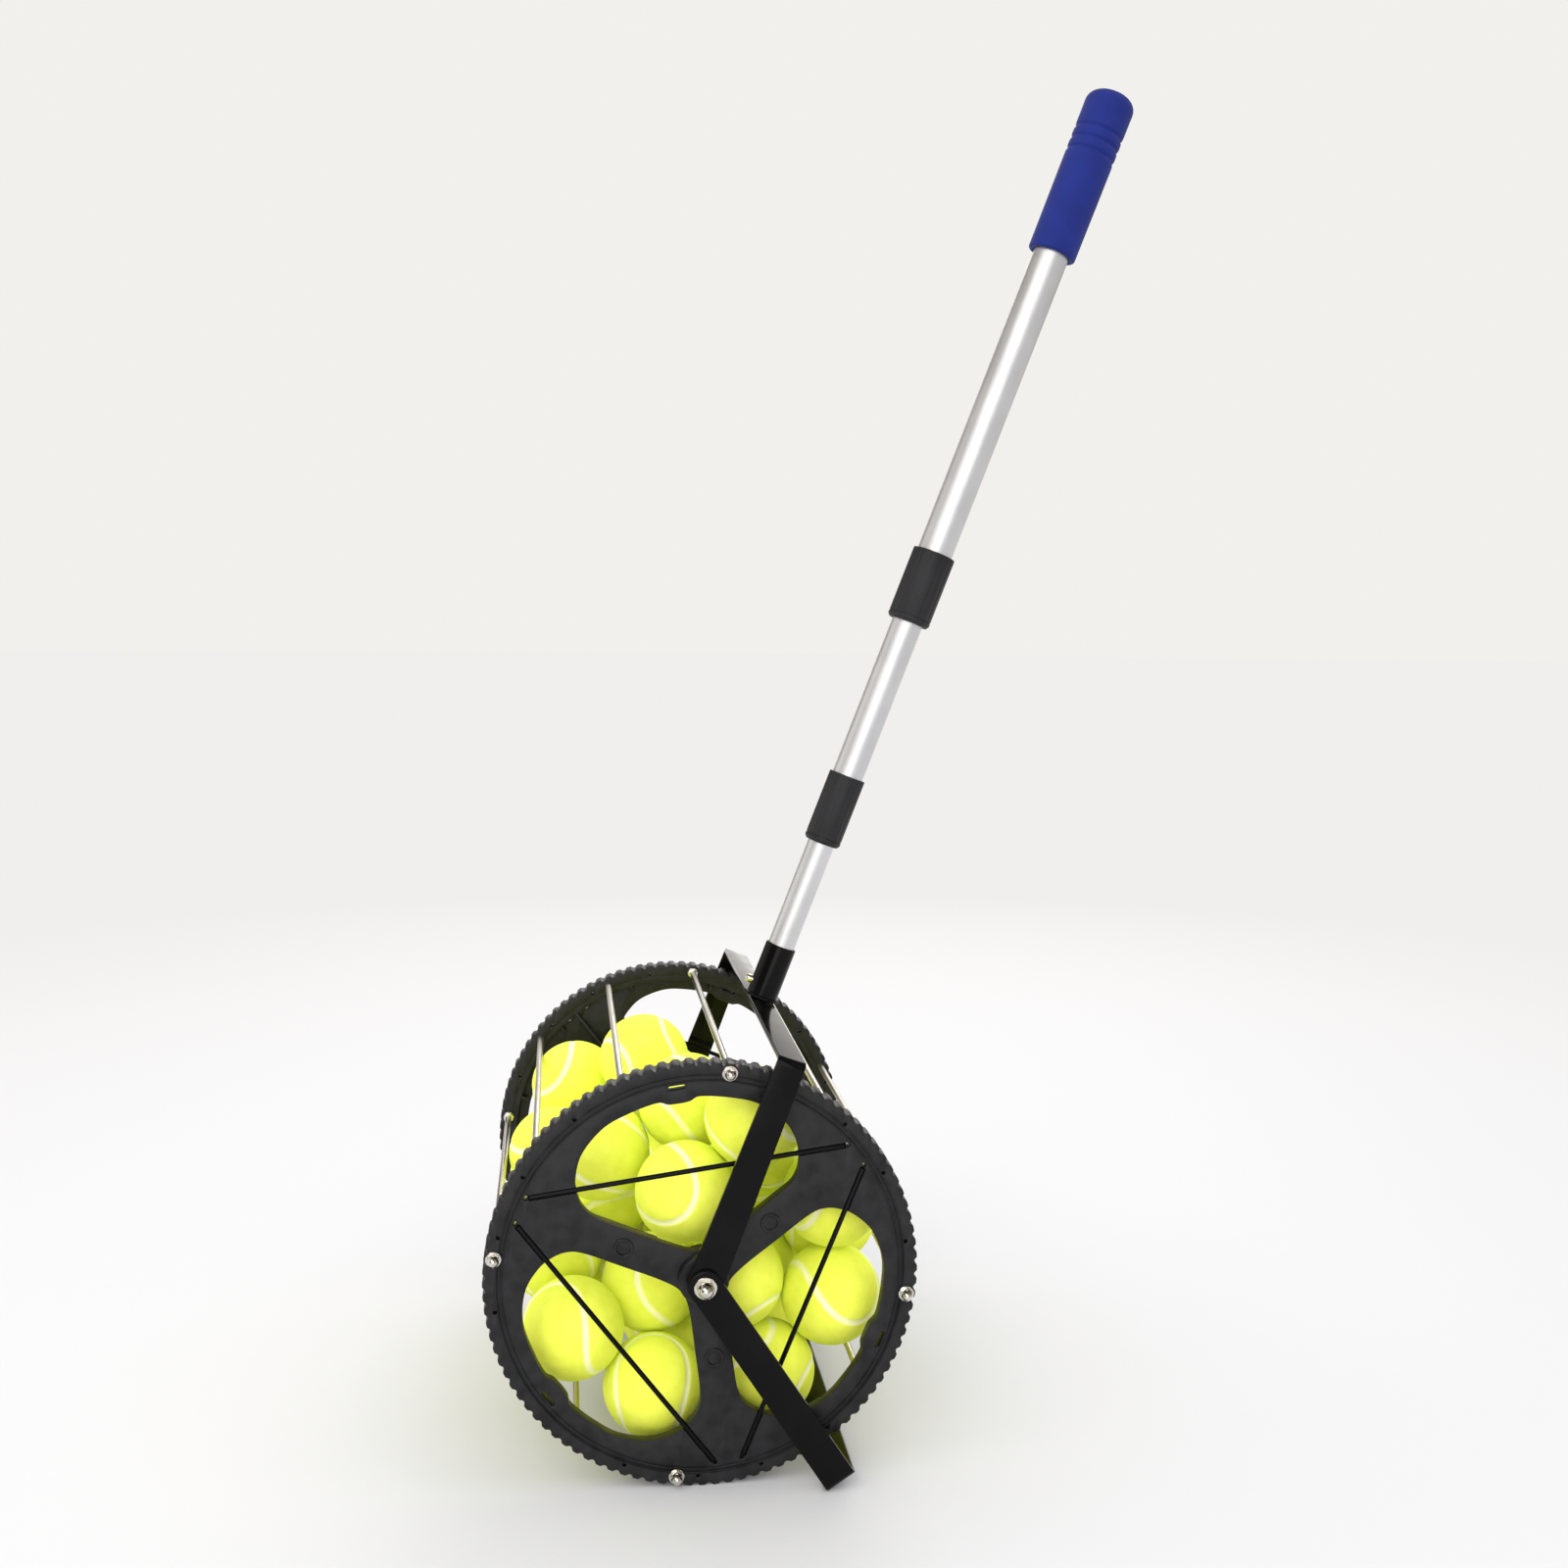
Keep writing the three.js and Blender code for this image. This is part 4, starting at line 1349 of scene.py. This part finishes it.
@dataclass
class TelescopicHandle:
    """Socket, snap button, three tubes, two clamp collars and the foam grip, all on the handle's line.

    Tubes and collars are given by radius, lower end and upper end, with heights measured from the axle. The
    weld's swells are given by their share of the radius, their number round it and their phase in radians.
    """

    stand: Stand
    finishes: Finishes
    crossbar: float
    lower: Triple = (9.5, 151.9, 409.0)
    middle: Triple = (11.0, 283.8, 597.0)
    upper: Triple = (12.5, 449.8, 818.7)
    wall: float = 1.2
    tube_edge: float = 0.25
    socket_radius: float = 11.0
    socket_top: float = 189.0
    socket_floor: float = 2.5
    socket_edges: Triple = (0.5, 0.2, 0.3)
    weld_radius: float = 1.5
    weld_out: float = 0.3
    weld_rise: float = 1.2
    weld_swells: tuple[Triple, ...] = ((0.018, 26.0, 0.0), (0.014, 5.0, 1.0))
    hole_start: float = 2.0
    hole_overrun: float = 4.0
    hole_edge: float = 0.1
    button_station: float = 159.5
    button_radius: float = 3.0
    button_tip: float = 16.0
    flange_radius: float = 4.0
    flange_span: Point = (5.9, 7.1)
    flange_edge: float = 0.1
    lower_collar: Triple = (13.0, 267.0, 317.6)
    upper_collar: Triple = (15.2, 433.0, 484.4)
    flutes: int = 12
    flute_corners: int = 12
    flute_depth: float = 0.35
    flute_start: float = 0.4
    sleeve_start: float = 4.4
    sleeve_edge: float = 0.7
    lip_taper: Point = (1.5, 1.8)
    lip_edges: Point = (0.1, 0.4)
    lip_height: float = 4.0
    parting: Triple = (0.4, 0.3, 5.2)
    lip_end: float = 16.5
    lip_gap: float = 0.5
    grip_span: Point = (705.5, 822.5)
    grip_radii: Point = (16.9, 17.4)
    grip_roll: float = 1.5
    grip_roll_steps: int = 8
    grip_foot: float = 0.1
    grip_start: float = 4.0
    grip_steps: Point = (0.55, 3.0)
    grip_cap: float = 9.0
    grip_cap_gap: float = 0.5
    grip_cap_rings: int = 10
    grip_cap_share: float = 0.42
    grip_floor: float = 7.0
    ring_drops: Triple = (44.5, 36.5, 28.5)
    ring_depth: float = 1.2
    ring_width: float = 1.3
    ring_reach: float = 4.0

    def fit(self, obj: Piece, material: Material, body: Body, nodes: Iterable[str] = (),
            smooth: float = SMOOTH_ANGLE) -> None:
        """Sets a finished piece down on the handle's line, as set_down does."""
        set_down(obj, self.stand.leaning(self.stand.lean), material, body, nodes, smooth)

    def tube(self, name: str, sizes: Triple, body: Body) -> None:
        """Builds one tube with softly broken ends.

        Args:
            name: The CAD node's name.
            sizes: Radius, lower end and upper end in millimetres.
            body: The body that it rides on.
        """
        radius, bottom, top = sizes
        bore = radius - self.wall
        edge = self.tube_edge
        profile = [(bore, bottom), (radius - edge, bottom), (radius, bottom + edge), (radius, top - edge),
                   (radius - edge, top), (bore, top), (bore, bottom)]
        self.fit(turned(name + "_skin", profile), self.finishes.tube, body, [name])

    def socket(self) -> None:
        """Builds the black socket with the button's hole through its -X side."""
        bottom = self.crossbar + CLEAR
        floor = bottom + self.socket_floor
        bore = self.lower[0] + CLEAR
        radius, top = self.socket_radius, self.socket_top
        outer, across, down = self.socket_edges
        profile = [(0.0, bottom), (radius, bottom), (radius, top - outer), (radius - outer, top),
                   (bore + across, top), (bore, top - down), (bore, floor), (0.0, floor)]
        obj = turned("socket_tube", profile)
        cutter = round_bar("cutter", self.button_radius + CLEAR, self.hole_start, radius + self.hole_overrun,
                           self.hole_edge, sides=32)
        cut_away(obj, shift(turn(cutter, -90.0, "Y"), 0.0, 0.0, self.button_station))
        self.fit(obj, self.finishes.paint, Body.FRAME, ["handle_socket"])

    def weld(self) -> None:
        """Builds the rippled bead of weld at the socket's foot, flat where it meets the crossbar."""
        bottom = self.crossbar + CLEAR
        weld = primitive("weld", bpy.ops.mesh.primitive_torus_add, major_segments=120, minor_segments=16,
                         major_radius=self.socket_radius + self.weld_out, minor_radius=self.weld_radius,
                         location=(0.0, 0.0, bottom + self.weld_rise))
        for vertex in weld.data.vertices:
            angle = math.atan2(vertex.co.y, vertex.co.x)
            swell = 1.0 + sum(share * math.sin(count * angle + phase)
                              for share, count, phase in self.weld_swells)
            vertex.co.x *= swell
            vertex.co.y *= swell
            vertex.co.z = max(vertex.co.z, bottom)
        self.fit(weld, self.finishes.paint, Body.FRAME, smooth=80.0)

    def button(self) -> None:
        """Builds the domed snap button with the flange that keeps it in the tube."""
        radius, flange, edge = self.button_radius, self.flange_radius, self.flange_edge
        low, high = self.flange_span
        shoulder = self.button_tip - radius
        profile = [(0.0, low), (flange - edge, low), (flange, low + edge), (flange, high - edge),
                   (flange - edge, high), (radius, high), (radius, shoulder), *dome(radius, shoulder, radius),
                   (0.0, self.button_tip)]
        obj = turn(turned("button_dome", profile, 40), -90.0, "Y")
        shift(obj, 0.0, 0.0, self.button_station)
        self.fit(obj, self.finishes.button, Body.BUTTON, ["snap_button"])

    def collar(self, name: str, sizes: Triple, bores: Point, body: Body) -> None:
        """Builds a clamp collar with shallow flutes and a parting line near its lower end.

        Args:
            name: The CAD node's name.
            sizes: Radius, lower end and upper end in millimetres.
            bores: Radii of the two tubes in it.
            body: The body that it rides on.
        """
        radius, bottom, top = sizes

        def fluted(phase: float) -> float:
            """Radius at a share of a flute."""
            wave = math.cos(math.tau * (phase - 0.5))
            return radius - self.flute_depth * max(0.0, wave - self.flute_start) / (1.0 - self.flute_start)

        outline = rippled(self.flutes, self.flute_corners, fluted)
        sleeve = plate("sleeve", [outline, circle(bores[1] + CLEAR, steps=64)], bottom + self.sleeve_start,
                       top, self.sleeve_edge)
        narrow, wide = bores[0] + CLEAR, bores[1] + self.lip_gap
        across, up = self.lip_taper
        corner, step = self.lip_edges
        recess, slope, neck = self.parting
        lip = turned("lip", [(narrow, bottom), (radius - across, bottom), (radius - corner, bottom + up),
                             (radius, bottom + up + step), (radius, bottom + self.lip_height),
                             (radius - recess, bottom + self.lip_height + slope),
                             (radius - recess, bottom + neck), (wide, bottom + neck),
                             (wide, bottom + self.lip_end), (narrow, bottom + self.lip_end),
                             (narrow, bottom)])
        self.fit(joined(name + "_shell", [sleeve, lip]), self.finishes.collar, body, [name])

    def grip(self) -> None:
        """Builds the foam sleeve: rolled lower edge, three pressed rings and a domed end."""
        bottom, top = self.grip_span
        low, high = self.grip_radii
        fine, coarse = self.grip_steps
        bore, roll, cap = self.upper[0] + CLEAR, self.grip_roll, self.grip_cap
        middle, reach = (bore + low) / 2, (low - bore) / 2
        foot = (bore, bottom + roll + self.grip_foot)
        profile = [foot]
        for i in range(self.grip_roll_steps + 1):
            x, y = polar(1.0, math.pi * (i / self.grip_roll_steps))
            profile.append((middle - reach * x, bottom + roll - roll * y))
        rings = [top - drop for drop in self.ring_drops]
        station = bottom + self.grip_start
        while station < top - cap - self.grip_cap_gap:
            skin = low + (high - low) * ((station - bottom) / (top - bottom))
            gaps = [abs(station - ring) for ring in rings]
            dent = sum(self.ring_depth * math.exp(-(gap / self.ring_width) ** 2) for gap in gaps)
            profile.append((skin - dent, station))
            station += fine if min(gaps) < self.ring_reach else coarse
        flat = high * self.grip_cap_share
        floor = top - self.grip_floor
        profile += [(high, top - cap), *dome(high - flat, top - cap, cap, self.grip_cap_rings, flat),
                    (flat, top), (0.0, top), (0.0, floor), (bore, floor), foot]
        obj = turned("grip_sleeve", profile)
        self.fit(obj, self.finishes.foam, Body.UPPER, ["foam_grip"], smooth=50.0)

    def build(self) -> None:
        """Builds the whole handle."""
        self.socket()
        self.weld()
        self.button()
        self.tube("lower_tube", self.lower, Body.FRAME)
        self.tube("middle_tube", self.middle, Body.MIDDLE)
        self.tube("upper_tube", self.upper, Body.UPPER)
        self.collar("lower_collar", self.lower_collar, (self.lower[0], self.middle[0]), Body.LOWER_CLAMP)
        self.collar("upper_collar", self.upper_collar, (self.middle[0], self.upper[0]), Body.UPPER_CLAMP)
        self.grip()


@dataclass
class BallPile:
    """Felt balls heaped in the drum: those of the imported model, and the buried ones between them."""

    stand: Stand
    finishes: Finishes
    nodes: list[str]
    radius: float = 32.7
    seam_groove: float = 0.35
    seam_half: float = 1.6
    seam_waves: Point = (0.75, 0.25)
    reach: float = 93.9
    half_row: float = 112.1
    buried_limit: int = 7
    slips: int = 60
    squeeze: float = 0.35
    seed_rows: tuple[range, range, range] = (range(-60, 61, 15), range(-100, 101, 20), range(-60, 50, 14))
    random_source: random.Random = field(default_factory=lambda: random.Random(7))

    def seam_line(self, count: int = 720) -> np.ndarray:
        """Points of the closed seam on a unit ball.

        Args:
            count: Number of points.

        Returns:
            The points, one in each row.
        """
        wide, narrow = self.seam_waves
        t = np.linspace(0.0, math.tau, count, endpoint=False)
        rise = 2.0 * math.sqrt(wide * narrow)
        points = np.stack([wide * np.cos(t) + narrow * np.cos(3 * t),
                           wide * np.sin(t) - narrow * np.sin(3 * t), rise * np.sin(2 * t)], axis=1)
        return points / np.linalg.norm(points, axis=1, keepdims=True)

    def pattern_ball(self) -> Piece:
        """One ball at the origin with its seam groove and the signed distance to its seam.

        Returns:
            The ball that the others are copied from.
        """
        obj = primitive("pattern_ball", bpy.ops.mesh.primitive_ico_sphere_add, subdivisions=6,
                        radius=self.radius)
        places = np.empty(len(obj.data.vertices) * 3)
        obj.data.vertices.foreach_get("co", places)
        places = places.reshape(-1, 3)
        outward = places / np.linalg.norm(places, axis=1, keepdims=True)
        line = self.seam_line()
        ahead = np.roll(line, -1, axis=0) - np.roll(line, 1, axis=0)
        nearest = np.argmax(outward @ line.T, axis=1)
        across = np.cross(ahead[nearest], line[nearest])
        across /= np.linalg.norm(across, axis=1, keepdims=True)
        side = np.einsum("ij,ij->i", outward - line[nearest], across) * self.radius
        gap = np.linalg.norm(outward - line[nearest], axis=1) * self.radius
        offset = np.where(np.abs(side) > 1e-6, np.sign(side), 1.0) * gap
        dent = self.seam_groove * np.exp(-(offset / self.seam_half) ** 2)
        obj.data.vertices.foreach_set("co", (outward * (self.radius - dent)[:, None]).ravel())
        attribute = obj.data.attributes.new(SEAM_ATTRIBUTE, "FLOAT", "POINT")
        attribute.data.foreach_set("value", offset.astype(np.float32))
        return obj

    def slipped(self, place: Vector, others: list[Vector]) -> Vector:
        """Lets a ball slip away from the others until it lies between them.

        Args:
            place: Where its centre starts, in millimetres from the axle.
            others: Centres of the other balls.

        Returns:
            Where its centre ends.
        """
        spacing = 2.0 * self.radius
        for _ in range(self.slips):
            push = Vector((0.0, 0.0, 0.0))
            for other in others:
                apart = place - other
                if 0.0 < apart.length < spacing:
                    push += apart.normalized() * (spacing - apart.length) * 0.5
            place = place + push
        return place

    def buried(self, kept: list[Vector]) -> list[Vector]:
        """Places of the balls between the others, found by letting each slip into a gap.

        Args:
            kept: Centres of the balls that are there, in millimetres from the axle.

        Returns:
            The centres of the buried balls.
        """
        found: list[Vector] = []
        columns, rows, layers = self.seed_rows
        for seed in [Vector((x, y, z)) for z in layers for y in rows for x in columns]:
            if len(found) >= self.buried_limit:
                break
            place = self.slipped(seed, kept + found)
            nearest = min((place - other).length for other in kept + found)
            inside = math.hypot(place.x, place.z) <= self.reach and abs(place.y) <= self.half_row
            if nearest > 2.0 * self.radius - self.squeeze and inside:
                found.append(place)
        return found

    def build(self) -> None:
        """Builds all balls, each turned its own way."""
        pattern = self.pattern_ball()
        centres = [sum(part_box(node), Vector()) / 2 for node in self.nodes]
        kept = [(centre - self.stand.axle) / MM for centre in centres]
        extra = [self.stand.axle + place * MM for place in self.buried(kept)]
        LOG.info("buried balls: %d", len(extra))
        for index, centre in enumerate(centres + extra):
            obj = pattern.copy()
            obj.data = pattern.data.copy()
            bpy.context.scene.collection.objects.link(obj)
            nodes = self.nodes[index:index + 1]
            obj.name = f"felt_{nodes[0]}" if nodes else f"felt_ball_inner_{index + 1:02d}"
            turning = Matrix.Identity(4)
            for axis in "XYZ":
                turning = Matrix.Rotation(self.random_source.uniform(0.0, math.tau), 4, axis) @ turning
            set_down(obj, Matrix.Translation(centre) @ turning, self.finishes.felt, Body.FRAME,
                     nodes, smooth=60.0)
        bpy.data.objects.remove(pattern, do_unlink=True)


@dataclass(frozen=True)
class Lamp:
    """A square studio lamp, with its place and side in metres and its power in watts."""

    name: str
    place: Triple
    side: float
    power: float
    colour: str

    def build(self, aim: Triple) -> None:
        """Adds the lamp.

        Args:
            aim: The place that it faces, in metres.
        """
        facing = Vector(aim) - Vector(self.place)
        bpy.ops.object.light_add(type="AREA", location=self.place,
                                 rotation=facing.to_track_quat("-Z", "Y").to_euler())
        lamp = bpy.context.active_object
        lamp.name = self.name
        lamp.data.size = self.side
        lamp.data.energy = self.power
        lamp.data.color = linear(self.colour)[:3]
        lamp.visible_camera = False


@dataclass
class Studio:
    """Pale floor, soft lights and the photograph's camera."""

    stand: Stand
    camera_from_axle: Triple = (-85.1, -1186.0, 402.6)
    yaw: float = 7.353
    pitch: float = 5.336
    roll: float = 0.45
    lens: float = 39.375
    sensor: float = 36.0
    lamp_aim: Triple = (0.0, 0.0, 0.25)
    lamps: tuple[Lamp, ...] = (
        Lamp("key_lamp", (-1.5, -1.7, 2.2), 2.0, 21.0, "#fffdf8"),
        Lamp("front_lamp", (-0.4, -2.6, 1.0), 2.4, 38.0, "#ffffff"),
        Lamp("fill_lamp", (1.9, -1.4, 1.3), 1.6, 3.0, "#f6f9ff"),
        Lamp("side_lamp", (-2.4, 0.7, 1.1), 2.4, 16.0, "#fffefb"),
        Lamp("back_lamp", (0.6, 1.9, 1.9), 1.4, 20.0, "#ffffff"),
        Lamp("wall_panel", (0.3, 2.6, 0.9), 2.4, 18.0, "#fffdfa"))
    floor_radius: float = 30.0
    floor_colour: str = "#bfbebe"
    far_colour: str = "#f1efed"
    far_span: Point = (0.5, 2.2)
    light_colour: str = "#f4f5f8"
    light_level: float = 1.45
    wall_colour: str = "#f2f0ec"
    room_colour: str = "#cbbba6"
    room_level: float = 0.3

    def camera(self) -> None:
        """Adds the camera at the photograph's angle."""
        bpy.ops.object.camera_add(
            location=self.stand.axle + Vector(self.camera_from_axle) * MM,
            rotation=(math.radians(90.0 - self.pitch), math.radians(-self.roll), math.radians(-self.yaw)))
        camera = bpy.context.active_object
        camera.name = "photo_camera"
        camera.data.lens = self.lens
        camera.data.sensor_width = self.sensor
        camera.data.dof.use_dof = False
        bpy.context.scene.camera = camera

    def floor(self) -> None:
        """Adds the floor: pale, with shadows near the object and plain white far from it."""
        floor = primitive("studio_floor", bpy.ops.mesh.primitive_circle_add, vertices=64,
                          radius=self.floor_radius, fill_type="NGON")
        material = blank_material("pale_floor")
        shader = material.node_tree.nodes["Principled BSDF"]
        connect(material, shader, {"Base Color": linear(self.floor_colour), "Roughness": 0.9})
        place = add_node(material, "ShaderNodeTexCoord").outputs["Object"]
        reach = add_node(material, "ShaderNodeVectorMath", {0: place}, operation="LENGTH").outputs["Value"]
        far = add_node(material, "ShaderNodeMapRange",
                       {"Value": reach, "From Min": self.far_span[0], "From Max": self.far_span[1]})
        glow = add_node(material, "ShaderNodeEmission", {"Color": linear(self.far_colour), "Strength": 1.0})
        mix = add_node(material, "ShaderNodeMixShader",
                       {0: far.outputs["Result"], 1: shader.outputs[0], 2: glow.outputs[0]})
        connect(material, material.node_tree.nodes["Material Output"], {"Surface": mix.outputs[0]})
        floor.data.materials.append(material)

    def sky(self) -> None:
        """Gives the world a plain pale look, an even, softer light, and a dim warm room in reflections."""
        world = bpy.data.worlds.new("studio_world")
        bpy.context.scene.world = world
        world.use_nodes = True
        light = world.node_tree.nodes["Background"]
        connect(world, light, {"Color": linear(self.light_colour), "Strength": self.light_level})
        wall = add_node(world, "ShaderNodeBackground", {"Color": linear(self.wall_colour), "Strength": 1.0})
        room = add_node(world, "ShaderNodeBackground",
                        {"Color": linear(self.room_colour), "Strength": self.room_level})
        ray = add_node(world, "ShaderNodeLightPath").outputs
        soft = add_node(world, "ShaderNodeMixShader",
                        {0: ray["Is Glossy Ray"], 1: light.outputs[0], 2: room.outputs[0]})
        sky = add_node(world, "ShaderNodeMixShader",
                       {0: ray["Is Camera Ray"], 1: soft.outputs[0], 2: wall.outputs[0]})
        connect(world, world.node_tree.nodes["World Output"], {"Surface": sky.outputs[0]})

    def build(self) -> None:
        """Builds the studio."""
        bpy.context.scene.view_settings.view_transform = "Standard"
        self.camera()
        self.floor()
        self.sky()
        for lamp in self.lamps:
            lamp.build(self.lamp_aim)


def main() -> None:
    """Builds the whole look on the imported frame."""
    logging.basicConfig(level=logging.INFO, format="%(name)s %(message)s")
    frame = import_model()
    joints = {joint["name"]: joint for joint in frame["joints"]}
    _, disc_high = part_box("front_disc")
    stand = Stand(axle=Vector(joints["drum_roll"]["pos_m"]),
                  handle_axis=Vector(joints["middle_tube_slide"]["axis"]), inner_plane=abs(disc_high.y))
    finishes = Finishes(stand.lean)
    Studio(stand).build()
    disc = ToothedDisc(stand, finishes)
    bolts = AxleBolts(stand, finishes, disc.rim_depth, disc.hub_rise)
    for side in Side:
        disc.build(side)
        bolts.build(side)
    RodCage(stand, finishes, disc.rim_depth).build()
    bars = BarFrame(stand, finishes, disc.radius)
    bars.build()
    TelescopicHandle(stand, finishes, bars.fork_height).build()
    balls = sorted(name for name in frame["nodes"] if name.startswith("ball_"))
    BallPile(stand, finishes, balls).build()


if __name__ == "__main__":
    main()
